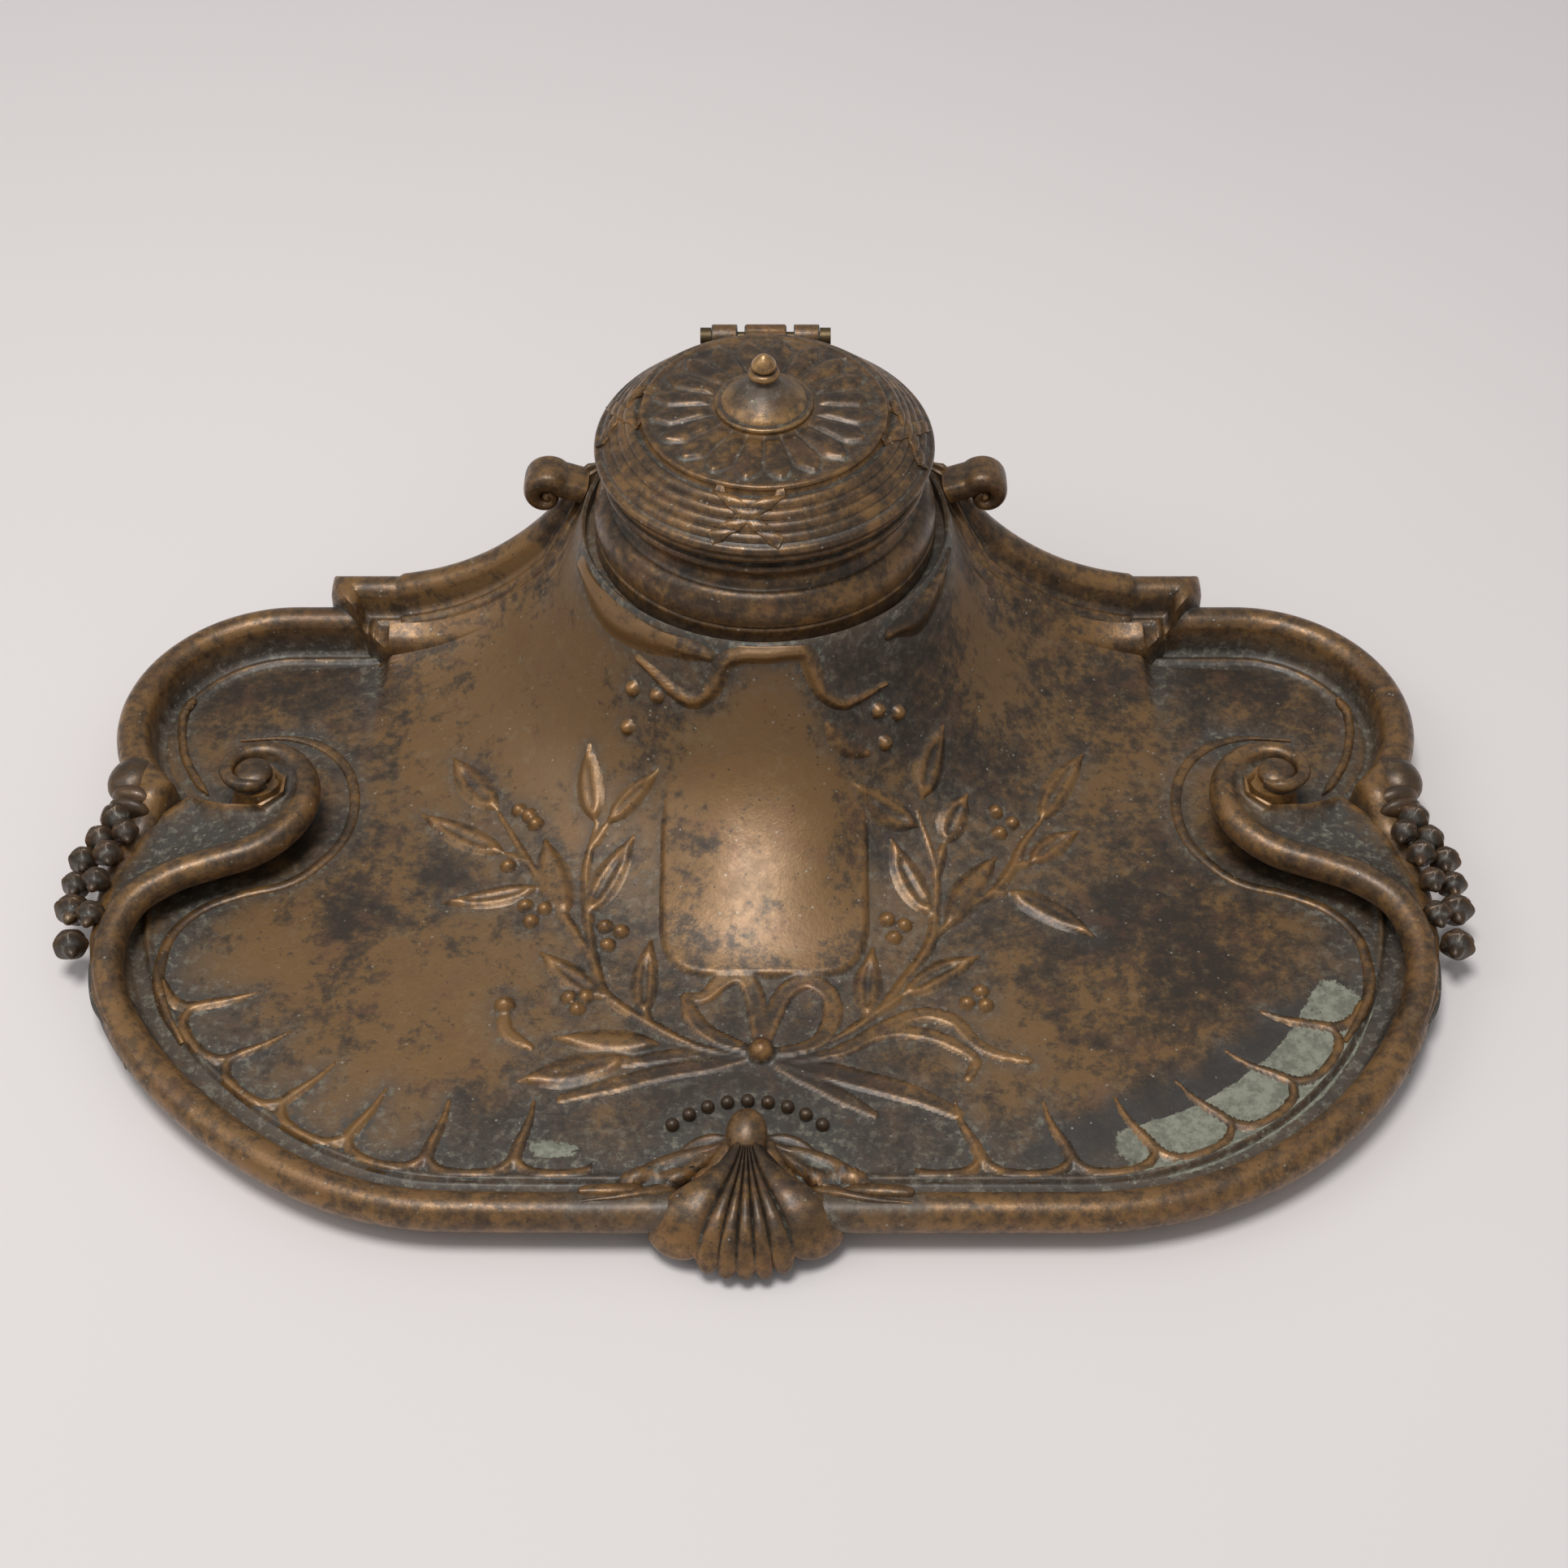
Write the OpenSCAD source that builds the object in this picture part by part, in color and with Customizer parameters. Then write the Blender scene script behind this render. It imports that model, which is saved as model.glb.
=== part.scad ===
// Cast bronze desk inkstand. A shallow dish with a rolled rim holds the pens.
// Its bell-shaped mound carries a collar, an ink pot and a hinged lid.
// Millimetres, +Z up. The origin is the middle of the outline, on the table.
// Plan sizes are measured from the axis of the ink well, with -Y to the front.

/* [Dish outline] */
// Radius of the two front corners of the dish
corner_r = 71; // [68:0.5:74]
// Distance of each front corner's centre from the middle line
corner_x = 52; // [49:0.5:55]
// Distance of each front corner's centre in front of the well
corner_y = 62; // [60:0.5:65]
// Radius of the two lobes behind the scrolls
lobe_r = 31; // [29:0.5:33]
// Distance of each lobe's centre from the middle line
lobe_x = 95.5; // [94:0.5:98]
// Distance of each lobe's centre in front of the well
lobe_y = 19.5; // [18:0.5:21]
// Half width of the stepped back wall
step_x = 89; // [86:0.5:92]
// Distance of the back wall behind the well
back_y = 16.5; // [15:0.5:18]
// Thickness of the round wall behind the well, outside the lip
drum_wall = 2; // [1.8:0.1:3]

/* [Dish heights] */
// Height of the dish floor, which is also its thickness
floor_z = 3.4; // [3:0.1:4.5]
// Height of the rim along the front
front_crest = 10; // [9:0.5:12]
// Height of the rim round the sides and lobes
side_crest = 12; // [11:0.5:14]
// Height of the back wall at its stepped ends
rail_crest = 16; // [15:0.5:19]
// How sharply the back wall sweeps up to the mound
rail_sweep = 2.8; // [2.2:0.1:3.4]
// Fall from the back wall's crest to the line inside it
rail_drop = 6; // [5:0.5:7]
// Height of the mound's lip
lip_z = 44; // [42:0.5:48]
// Distance over which the mound's bell flares out
bell_len = 11.7; // [10:0.1:13]
// Wall of the casting under the mound
cast_wall = 3.4; // [3:0.1:4]

/* [Rim] */
// Width of the rolled rim
roll_w = 6.6; // [6:0.1:7.5]
// Height of the roll above its widest line
roll_h = 3.4; // [3:0.1:4]
// Height of the rim's lower edge above the table
rim_lift = 5; // [4:0.5:6]
// Distance from the rim's edge to where the underside meets the table
foot_in = 8; // [7:0.5:10]
// Distance from the rim's edge to the thin line on the floor
fillet_in = 9.3; // [8.8:0.1:10]
// Height of that thin line
fillet_h = 0.6; // [0.3:0.1:1]

/* [Medallion] */
// Half width of the cushion-shaped medallion
medal_a = 19.8; // [17:0.2:22]
// Half length of the medallion, up the mound
medal_b = 22.5; // [20:0.5:25]
// Distance of the medallion's centre in front of the well
medal_y = 58; // [56:0.5:60]
// Height of the medallion above the mound
medal_h = 3.4; // [2:0.1:5]

/* [Laurel relief] */
// Height of leaves, stems and bow above the floor
relief_h = 1.1; // [0.7:0.1:1.5]
// Half width of a laurel leaf
leaf_w = 2.7; // [2:0.1:3.2]
// Half width of the stems and of the ribbon
ribbon_w = 1.2; // [0.8:0.1:1.6]

/* [Scrolls] */
// Distance of each scroll's eye inside the front corner's edge
eye_in = 20.7; // [19.5:0.1:22]
// Angle of the eye about the front corner's centre, from the side
eye_a = 27.8; // [26:0.2:30]
// Height of the top of the eye
eye_z = 16; // [15:0.5:18]
// Radius of the scroll's first turn, below the eye
scroll_r = 17.5; // [16.5:0.5:18.5]
// Radius of the roll where the scroll leaves the rim
scroll_tube = 2.9; // [2.6:0.1:3.2]
// Radius of the eye
eye_r = 2.6; // [2.2:0.1:3]
// Radius of the curl at the top of the back wall
curl_r = 5.4; // [4.8:0.1:5.8]
// Width of that curl, front to back
curl_w = 7; // [6:0.5:8]

/* [Front shell] */
// Sideways offset of the shell from the middle line
shell_shift = -2.6; // [-3:0.1:3]
// Length of the shell from its stem to its tip
shell_len = 27; // [25:0.5:30]
// How far the shell's tip stands out past the front rim
shell_reach = 7.6; // [6:0.1:9]
// Angle of the shell's broad outer lobes from the middle
shell_spread = 29; // [25:1:33]
// Number of beads in the row above the shell
pearl_count = 9; // [7:2:11]
// Radius of a bead in that row
pearl_r = 1.1; // [0.9:0.1:1.3]
// Radius of the arc that the beads stand on
pearl_arc = 19; // [17:0.5:21]
// Radius of the leaves beside the shell, at their thick end
rim_leaf_r = 1.9; // [1.6:0.1:2.2]

/* [Husk clusters] */
// How far the husks stand out past the sides of the dish
husk_reach = 7; // [6:0.5:8]
// Radius of the largest husk
husk_r = 3.4; // [3:0.1:3.8]
// Radius of the bud above the husks
bud_r = 3.6; // [3.2:0.1:4]

/* [Collar and ink pot] */
// Radius of the mound's lip
lip_r = 35; // [34.5:0.1:36]
// Depth of the recess that the collar stands in
recess_h = 3; // [2.5:0.1:4]
// Thickness of the ledge that the collar is clamped to
ledge_t = 3; // [2.5:0.1:3.5]
// Inner radius of the ledge
ledge_r = 29; // [28.8:0.1:29.4]
// Height of the collar above the bottom of its recess
collar_h = 19.3; // [17.5:0.1:20]
// Width of the groove round the collar's foot
collar_groove = 1.8; // [0.5:0.1:2]
// Radius of the bore through the collar
bore_r = 26.2; // [25.5:0.1:26.4]
// Radius of the seat for the pot's flange
seat_r = 28.3; // [28:0.1:28.6]
// Depth of that seat below the collar's top
seat_h = 3.8; // [3.5:0.1:4.2]
// Height of the threaded ring that clamps the collar
nut_h = 3.6; // [3:0.1:4.5]
// Wall of the ink pot
pot_wall = 3; // [2:0.1:4]
// Thickness of the ink pot's flange
flange_t = 1.8; // [1.4:0.1:2]
// Height of the pot's foot above the table
pot_z = 9; // [6:0.5:14]

/* [Lid] */
// Radius of the lid's rolled rim
lid_r = 31.4; // [31.2:0.1:31.7]
// Thickness of the lid's rolled rim
lid_rim = 2.2; // [2:0.1:2.8]
// Radius of the disc on top of the lid
disc_r = 22.9; // [22:0.1:24]
// Rise from the rim to the edge of the disc
disc_rise = 5.9; // [5:0.1:7]
// Rise of the disc from its edge to its middle
dome_rise = 0.9; // [0.7:0.1:2]
// Wall of the lid
lid_wall = 2.2; // [1.8:0.1:2.6]
// Depth of the lid's spigot below the rim
spigot_h = 1.9; // [1.5:0.1:2.1]
// Number of reeds round the band
reed_count = 4; // [3:1:5]
// Number of petals on the rosette
petal_count = 20; // [16:1:24]
// Height of the finial above the rosette
finial_h = 11.1; // [10:0.1:12]
// Radius of the finial's flange
finial_r = 9; // [8:0.1:10]
// Radius of the finial's stud
stud_r = 1.5; // [1.2:0.1:1.8]

/* [Hinge] */
// Distance of the hinge axis behind the lid's rim
hinge_out = 2.9; // [2.8:0.1:3.1]
// Radius of the knuckles
knuckle_r = 2.5; // [2.3:0.1:2.6]
// Width of the lid's middle knuckle
tongue_w = 8.2; // [7:0.1:9]
// Gap between neighbouring knuckles
knuckle_gap = 1.4; // [0.8:0.1:1.8]
// Width of each of the collar's knuckles
lug_w = 5; // [4:0.1:6]
// Radius of the hinge pin
pin_r = 1.1; // [0.9:0.05:1.3]

/* [Clearances] */
// Clearance between the lid and the collar
lid_gap = 0.3; // [0.3:0.05:0.6]
// Clearance of a turned piece in its round seat
fit_gap = 0.5; // [0.3:0.05:0.6]
// Radial running clearance of the hinge pin
pin_gap = 0.05; // [0.02:0.01:0.1]
// Thickness of the solder under an applied ornament
solder = 0.05; // [0.03:0.01:0.1]

/* [Hidden] */

// Places that follow from the sizes above
drum_r = lip_r + drum_wall;
front_y = corner_y + corner_r;
lobe_top = lobe_r - lobe_y;
well_y = (front_y + shell_reach - drum_r) / 2;
ledge_z = lip_z - recess_h;
recess_r = lip_r - 0.8;
under_r = recess_r - 1;
collar_top = ledge_z + collar_h;
lid_z = collar_top + lid_gap;
disc_z = lid_z + lid_rim + disc_rise;
dome_z = disc_z + dome_rise;
rosette_t = 0.8;
rosette_z = dome_z + solder + rosette_t;
hinge_y = lid_r + hinge_out;
hinge_z = lid_z - 0.1;
pot_r = bore_r - fit_gap;
spigot_r = seat_r - fit_gap;

// Finenesses of the casting's mesh: points along each stretch and rings
front_n = 5;
corner_n = 11;
lobe_n = 8;
rail_n = 7;
drum_n = 5;
field_n = 10;
round_n = 8;

function polar(r, a) = [r * cos(a), r * sin(a)];
function mix(a, b, t) = a + (b - a) * t;
function limit(v, low, high) = max(low, min(high, v));
// Inset of a mitred corner between two inward normals
function mitre(a, b) = (a + b) / (1 + a * b);
function flip(p) = [-p.x, p.y];

// ---- Outline of the dish, counted from the front middle to the back middle

corner_c = [corner_x, -corner_y];
lobe_c = [lobe_x, -lobe_y];
centres = lobe_c - corner_c;
centre_gap = norm(centres);
along = (corner_r * corner_r - lobe_r * lobe_r + centre_gap * centre_gap) / (2 * centre_gap);
across = sqrt(corner_r * corner_r - along * along);
// Where the front corner's arc meets the lobe's arc, under the husks
cusp = corner_c + (centres * along + [centres.y, -centres.x] * across) / centre_gap;
cusp_a = atan2(cusp.y - corner_c.y, cusp.x - corner_c.x);
cusp_b = atan2(cusp.y - lobe_c.y, cusp.x - lobe_c.x);
eye = corner_c + polar(corner_r - eye_in, eye_a);
drum_a = asin(back_y / drum_r);
drum_x = drum_r * cos(drum_a);
step_bevel = 0.8;
// Plan length of the rim's section, from its edge to the open field
field_in = fillet_in + 2.7;
rail_end = step_x - field_in - 3;

// The back wall's crest sweeps up from the step to the mound
function rail_top(x) =
    let (u = limit((x - lip_r) / (step_x - lip_r), 0, 1))
    mix(rail_crest, lip_z, pow(1 - u, rail_sweep));
function side_top(a) =
    mix(front_crest, side_crest, pow((a + 90) / (cusp_a + 90), 3));

// An edge point holds its place, its inset, its crest and whether it is on the back wall
half_edge = concat(
    [for (i = [0 : front_n - 1]) [[corner_x * i / front_n, -front_y], [0, 1], front_crest, false]],
    [for (i = [0 : corner_n - 1]) let (a = mix(-90, cusp_a, i / corner_n))
        [corner_c + polar(corner_r, a), -polar(1, a), side_top(a), false]],
    [[cusp, mitre(-polar(1, cusp_a), -polar(1, cusp_b)), side_crest, false]],
    [for (i = [1 : lobe_n]) let (a = mix(cusp_b, 90, i / lobe_n))
        [lobe_c + polar(lobe_r, a), -polar(1, a), side_crest, false]],
    [[[step_x, lobe_top], [-1, -1], side_crest, false],
     [[step_x, lobe_top + step_bevel], [-1, -1], rail_crest - step_bevel / 2, true],
     [[step_x, back_y], [-1, -1], rail_crest, true]],
    [for (i = [0 : rail_n - 1]) let (x = mix(rail_end, drum_x + 2, pow(i / (rail_n - 1), 0.8)))
        [[x, back_y], [0, -1], rail_top(x), true]],
    [for (i = [0 : drum_n - 1]) let (a = mix(drum_a, 90, i / drum_n))
        [polar(drum_r, a), -polar(1, a), lip_z, true]]
);
edge_points = concat(
    half_edge,
    [[[0, drum_r], [0, -1], lip_z, true]],
    [for (i = [len(half_edge) - 1 : -1 : 1]) let (e = half_edge[i])
        [flip(e[0]), flip(e[1]), e[2], e[3]]]
);

// ---- Surface of the dish

function bell(r) = (lip_z - floor_z) * exp(-max(0, r - lip_r) / bell_len);
function cushion(p) =
    let (
        u = pow(abs(p.x) / medal_a, 2.6) + pow(abs(p.y + medal_y) / medal_b, 2.6)
    )
    medal_h * pow(max(0, 1 - u), 0.6);
function field_z(p) = floor_z + bell(norm(p)) + cushion(p);
function hollow_z(p) = floor_z + bell(norm(p) + cast_wall * 0.65) - cast_wall - 1;

// Where the mound's lip crowds the back wall, the rim's section is narrower
function reach(e) = limit((norm(e[0]) - lip_r - 0.4) / field_in, 0.1, 1);
function inset(e, d) = e[0] + e[1] * d;
// Height of the thin line inside the rim
function line_z(e) = e[3] ? e[2] - rail_drop : floor_z + 0.4;
// Heights of the section shrink with its width
function squeeze(e, z) = mix(e[2], z, reach(e));
function rim_point(e, d, z) =
    let (p = inset(e, d * reach(e))) [p.x, p.y, squeeze(e, z)];
function lower_z(e) = e[3] ? 0.8 : rim_lift;

// The rim's section, from its lower edge over the roll to the thin line
function rim_section(e) =
    let (h = e[2], f = line_z(e), low = inset(e, 0.35))
    concat(
        [[low.x, low.y, lower_z(e)]],
        [for (t = [0, 35, 75, 115, 150])
            rim_point(e, roll_w / 2 * (1 - cos(t)), h - roll_h * (1 - sin(t)))],
        [rim_point(e, roll_w + 0.5, f),
         rim_point(e, fillet_in - 0.9, f - 0.3),
         rim_point(e, fillet_in, f + fillet_h),
         rim_point(e, fillet_in + 0.8, f + fillet_h),
         rim_point(e, fillet_in + 1.5, f)]
    );

// The field runs from the rim's section to the mound's lip
fade_len = 9;
function lip_angle(e) =
    let (p = inset(e, field_in * reach(e))) atan2(p.y + 6, p.x);
function field_point(e, t) =
    let (
        p0 = inset(e, field_in * reach(e)),
        p = mix(p0, polar(lip_r, lip_angle(e)), t),
        gap = squeeze(e, line_z(e) - 0.1) - field_z(p0),
        z = field_z(p) + gap * exp(-norm(p - p0) / fade_len) * (1 - t)
    )
    [p.x, p.y, t == 1 ? lip_z : z];

// The underside is flat near the rim, and hollow under the mound
function flat_in(e) = e[3] ? drum_wall + 0.8 : foot_in + 6;
function hollow_point(e, t) =
    let (
        p0 = inset(e, flat_in(e) + 0.3),
        p = mix(p0, polar(under_r, lip_angle(e)), t),
        gap = line_z(e) - cast_wall - 1 - hollow_z(p0),
        z = hollow_z(p) + gap * exp(-norm(p - p0) / fade_len) * (1 - t)
    )
    [p.x, p.y, t == 1 ? ledge_z - ledge_t : limit(z, 0, ledge_z - ledge_t)];
function ring_point(e, r, z) =
    let (p = polar(r, lip_angle(e))) [p.x, p.y, z];

function tray_column(e) =
    let (foot = inset(e, e[3] ? 0.6 : foot_in), flat = inset(e, flat_in(e)))
    concat(
        rim_section(e),
        [for (i = [0 : field_n]) field_point(e, 1 - pow(1 - i / field_n, 1.25))],
        [ring_point(e, recess_r, lip_z - 0.4),
         ring_point(e, recess_r, ledge_z),
         ring_point(e, ledge_r, ledge_z),
         ring_point(e, ledge_r, ledge_z - ledge_t)],
        [for (t = [1, 0.88, 0.7, 0.5, 0.25, 0]) hollow_point(e, t)],
        [[flat.x, flat.y, 0], [foot.x, foot.y, 0]]
    );

// A closed skin over columns that each run round the section
module skin(columns) {
    m = len(columns[0]);
    n = len(columns);
    function id(i, j) = (i % n) * m + (j % m);
    polyhedron(
        points = [for (c = columns) each c],
        faces = [for (i = [0 : n - 1], j = [0 : m - 1]) each
            [[id(i, j), id(i, j + 1), id(i + 1, j + 1)], [id(i, j), id(i + 1, j + 1), id(i + 1, j)]]]
    );
}

module casting() skin([for (e = edge_points) tray_column(e)]);

module at_well() translate([0, well_y, 0]) children();

// ---- Relief on the floor: two sprays of laurel, tied with a bow under the medallion

// Each leaf of the right spray as the plan point of its base, its direction and its length
laurel_leaves = [
    [51.6, -42.6, 58, 18], [49.3, -52.3, 35, 16], [43.3, -60, -20, 17], [34, -69, 66, 18], [30.6, -45, 77, 12.5],
    [28.6, -47.6, 158, 10.5], [31.5, -65.5, 118, 15.8], [26, -84, 36, 16], [19.8, -89, 92, 16], [20, -93.5, 2, 17]
];
bow_knot = [0, -95.5];

// A point above or below the floor, square to its slope
function on_floor(p, h) =
    let (r = norm(p), slope = bell(r) / bell_len, n = [p.x / r * slope, p.y / r * slope, 1])
    [p.x, p.y, field_z(p)] + h / norm(n) * n;

// A raised bar on the floor, from the points of its path and its half width and height at each
module bar(path, widths, heights) {
    last = len(path) - 1;
    sections = [for (i = [0 : last])
        let (d = path[min(i + 1, last)] - path[max(i - 1, 0)], side = widths[i] / norm(d) * [d.y, -d.x])
        [on_floor(path[i] + side, -0.8), on_floor(path[i], heights[i]),
            on_floor(path[i] - side, -0.8), on_floor(path[i], -1.8)]
    ];
    for (i = [1 : last]) hull()
        polyhedron(points = concat(sections[i - 1], sections[i]), faces = [[0, 1, 2, 3], [4, 5, 6, 7]]);
}

module leaf(base, a, length) {
    bar(
        [for (t = [0, 0.33, 0.67, 1]) base + length * t * polar(1, a)],
        leaf_w * [0.3, 1, 0.95, 0.15],
        relief_h * [0.4, 1.1, 1.1, 0.3]
    );
}

// A stem or ribbon along a curve between four plan points
module strand(a, b, c, d, w) {
    n = 5;
    bar(
        [for (i = [0 : n]) bezier(a, b, c, d, i / n)],
        [for (i = [0 : n]) w * (0.6 + 0.6 * sin(180 * i / n))],
        [for (i = [0 : n]) relief_h * 0.8]
    );
}

module spray() {
    for (l = laurel_leaves) leaf([l[0], l[1]], l[2], l[3]);
    strand([3, -97], [22, -92], [32, -62], [51, -43], ribbon_w * 0.8);
    strand([29, -73], [33, -64], [33, -55], [30, -46], ribbon_w * 0.7);
    // The bow's loop and its tail, and the swag above the medallion
    strand(bow_knot, bow_knot + [-3, 29], bow_knot + [28, 11], bow_knot, ribbon_w * 1.2);
    strand(bow_knot, [12, -99], [22, -102], [34, -107], ribbon_w * 1.2);
    strand([5, -36], [9.5, -39], [15, -38], [23, -32], ribbon_w);
}

module tray() {
    color("#7a5a36") at_well() {
        casting();
        spray();
        mirror([1, 0, 0]) spray();
        translate(on_floor(bow_knot, 0)) scale([1.1, 1, 0.8]) ball([0, 0, 0], ribbon_w * 1.8);
    }
}

// Cuts an applied ornament to the casting that it is soldered to
module on_casting() {
    difference() {
        children();
        translate([0, 0, solder]) casting();
    }
}

module ball(p, r, n = round_n) translate(p) sphere(r = r, $fn = n);

// ---- Scrolls: the side rim turns in and winds up to an eye

// Turning of the scroll about its eye, from the side nearest the front
scroll_turn = 520;
wind_len = 105;
scroll_a = -26;
wind_end = scroll_r * 0.275;
function scroll_radius(t) = mix(wind_end, scroll_r, exp(-t / wind_len)) - 0.005 * t;
function bezier(a, b, c, d, t) =
    a * pow(1 - t, 3) + b * 3 * t * pow(1 - t, 2) + c * 3 * t * t * (1 - t) + d * pow(t, 3);

rim_start = corner_c + polar(corner_r - roll_w / 2, scroll_a);
rim_heading = polar(1, scroll_a + 90);
wind_start = [eye.x, eye.y - scroll_r];
function wind_point(t) = eye + polar(scroll_radius(t), -90 - t);
function sweep_point(t) =
    bezier(rim_start, rim_start + scroll_r * 0.8 * rim_heading, wind_start + scroll_r * [0.91, -0.11], wind_start, t);
// Plan point, crest height and roll radius at each station
scroll_path = concat(
    [for (i = [0 : 5]) let (t = i / 6)
        [sweep_point(t), mix(side_top(scroll_a) + 0.4, 13, t), mix(scroll_tube, scroll_tube - 0.3, t)]],
    [for (i = [0 : 18]) let (t = scroll_turn * pow(i / 18, 0.9))
        [wind_point(t), mix(13, eye_z, min(1, t / 270)), mix(scroll_tube - 0.3, 1.1, min(1, t / 330))]]
);
// A station's foot stands back from its roll, which leaves the roll undercut
function scroll_foot(i) =
    let (
        s = scroll_path[i],
        j = min(i, len(scroll_path) - 2),
        d = scroll_path[j + 1][0] - scroll_path[j][0],
        side = [d.y, -d.x] / norm(d)
    )
    s[0] + side * s[2] * 1.3 * limit((i - 2) / 4, 0, 1);

// The first stations spring from the rim, so their feet are still inside it
module scroll_station(i) {
    s = scroll_path[i];
    f = scroll_foot(i);
    ball([s[0].x, s[0].y, s[1] - s[2]], s[2]);
    ball([f.x, f.y, mix(s[1] - s[2], floor_z - 0.6, min(1, i / 4))], s[2] * 0.55, 6);
}

module scroll() {
    for (i = [0 : len(scroll_path) - 2]) hull() {
        scroll_station(i);
        scroll_station(i + 1);
    }
    hull() {
        ball([eye.x, eye.y, eye_z - eye_r], eye_r);
        ball([eye.x, eye.y, floor_z], eye_r);
    }
}

module scroll_left() color("#8b6237") at_well() mirror([1, 0, 0]) on_casting() scroll();
module scroll_right() color("#8b6237") at_well() on_casting() scroll();

// ---- Curls: the back wall's crest rolls outwards beside the mound

curl_x = lip_r + curl_r * 1.25;
curl_z = rail_top(curl_x) + curl_r;
module curl() {
    tube = curl_r / 2;
    on_casting() {
        union() {
            for (i = [0 : 9]) hull() for (a = [215 - 31 * i, 184 - 31 * i], y = [0.5, curl_w / 2]) {
                r = (curl_r - tube) * (1 - max(0, 120 - a) / 500);
                ball([curl_x + r * cos(a), back_y - y - tube / 2, curl_z + r * sin(a)], tube);
            }
            ball([curl_x, back_y - curl_w / 2 - tube / 2, curl_z], tube * 1.15);
        }
    }
}

module curl_left() color("#7d5c38") at_well() mirror([1, 0, 0]) curl();
module curl_right() color("#7d5c38") at_well() curl();

// ---- Front shell: flutes that fan out from a stem and hang over the rim

stem_y = -front_y - shell_reach + shell_len;
// Flutes as angle, tip radius and length; the outer lobes are broad
shell_flutes = [
    [-shell_spread, 4.3, 0.92], [-shell_spread * 0.55, 1.6, 0.97], [-shell_spread * 0.28, 1.5, 1],
    [0, 1.5, 1], [shell_spread * 0.28, 1.5, 1], [shell_spread * 0.55, 1.6, 0.97],
    [shell_spread, 4.3, 0.92]
];
shell_top = front_crest + 1.6;
function flute_point(a, d, z) = [shell_shift + d * sin(a), stem_y - d * cos(a), z];

module flute(a, r, part) {
    d = shell_len * part - r;
    over = front_y - roll_w / 2 + stem_y;
    hull() {
        ball(flute_point(a * 0.4, 1, shell_top - 1.6), 1.6);
        ball(flute_point(a, over, shell_top - r * 0.6), r * 0.6);
    }
    hull() {
        ball(flute_point(a, over, shell_top - r * 0.6), r * 0.6);
        ball(flute_point(a, d, front_crest - 1.4 - r * 0.55), r);
    }
}

// A leaf that lies along the rim beside the shell
module rim_leaf(side) {
    y = -front_y + roll_w / 2;
    for (t = [0 : 3]) hull() for (k = [t, t + 1])
        ball(
            [shell_shift + side * rim_leaf_r * (3.7 + 2.75 * k), y + rim_leaf_r * (4.75 - 1.6 * k + 0.15 * k * k),
                front_crest - rim_leaf_r * (0.3 + 0.13 * k)],
            rim_leaf_r * (1 - 0.13 * k)
        );
}

module front_shell() {
    color("#80603a") at_well() difference() {
        on_casting() {
            union() {
                for (f = shell_flutes) flute(f[0], f[1], f[2]);
                rim_leaf(-1);
                rim_leaf(1);
            }
        }
        // The shell hangs below the rim's lower edge, clear of its underside
        translate([0, 0, -solder]) casting();
    }
}

// ---- Beads in an arc on the floor, above the shell's stem

pearl_step = 84 / (pearl_count - 1);
pearl_gap = 0.15;
module shell_pearls() {
    color("#6c5336") at_well() for (i = [0 : pearl_count - 1]) {
        a = 90 + pearl_step * (i - (pearl_count - 1) / 2);
        p = [shell_shift, stem_y] + pearl_arc * ([0, -0.605] + polar(1, a));
        z = field_z(p) + pearl_gap;
        translate([p.x, p.y, z]) difference() {
            translate([0, 0, pearl_r * 0.4]) sphere(r = pearl_r, $fn = 24);
            translate([-pearl_r, -pearl_r, -2 * pearl_r]) cube(2 * pearl_r);
        }
    }
}

// ---- Husks: a bud over the joint in the rim, and a cluster down the side

// Each husk as its angle about the front corner, its size and its height
husk_rows = [for (i = [0 : 4])
    [10.5 - 5.4 * i, husk_r * (0.72 + 0.28 * sin(40 * i + 10)), side_crest * (0.7 - 0.017 * i)]];
husk_inner = [[7, 0.62], [1, 0.68], [-5, 0.62]];
function husk_place(a, out, z) = let (p = corner_c + polar(corner_r + out, a)) [p.x, p.y, z];
// A place at the joint in the rim, in radii of the bud
function bud_place(x, y, down) = [cusp.x + bud_r * x, cusp.y + bud_r * y, side_crest - bud_r * down];
module husks() {
    on_casting() difference() {
        union() {
            for (h = husk_rows) {
                ball(husk_place(h[0], husk_reach - h[1], h[2]), h[1]);
            }
            for (h = husk_inner) {
                ball(husk_place(h[0], 0.2, side_crest - husk_r * 0.24), husk_r * h[1]);
            }
            // The stem that the husks grow from, against the rim's side
            for (i = [0 : len(husk_rows) - 2]) hull() for (h = [husk_rows[i], husk_rows[i + 1]]) {
                ball(husk_place(h[0], husk_r * 0.3, h[2] + husk_r * 0.18), h[1] * 0.75, 6);
            }
            for (k = [0, 1]) hull() {
                ball(bud_place(0.28 - 1.1 * k, 1.4 - 0.83 * k, 0.7), bud_r * (1 - 0.17 * k));
                ball(bud_place(-0.83 - 1.1 * k, 0.56 - 0.83 * k, 0.5), bud_r * (0.83 - 0.17 * k));
            }
            hull() {
                ball(bud_place(0.28, 1.4, 0.7), bud_r * 0.7);
                ball(husk_place(husk_rows[0][0], husk_r * 0.3, husk_rows[0][2] + husk_r * 0.18), husk_r * 0.6);
            }
        }
        scroll();
    }
}

module husks_left() color("#5f4b38") at_well() mirror([1, 0, 0]) husks();
module husks_right() color("#5f4b38") at_well() husks();

// ---- Collar, its clamping ring and the ink pot

collar_base = recess_r - collar_groove;
neck_r = bore_r + 1.8;
nut_bore = ledge_r - 0.25;
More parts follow.
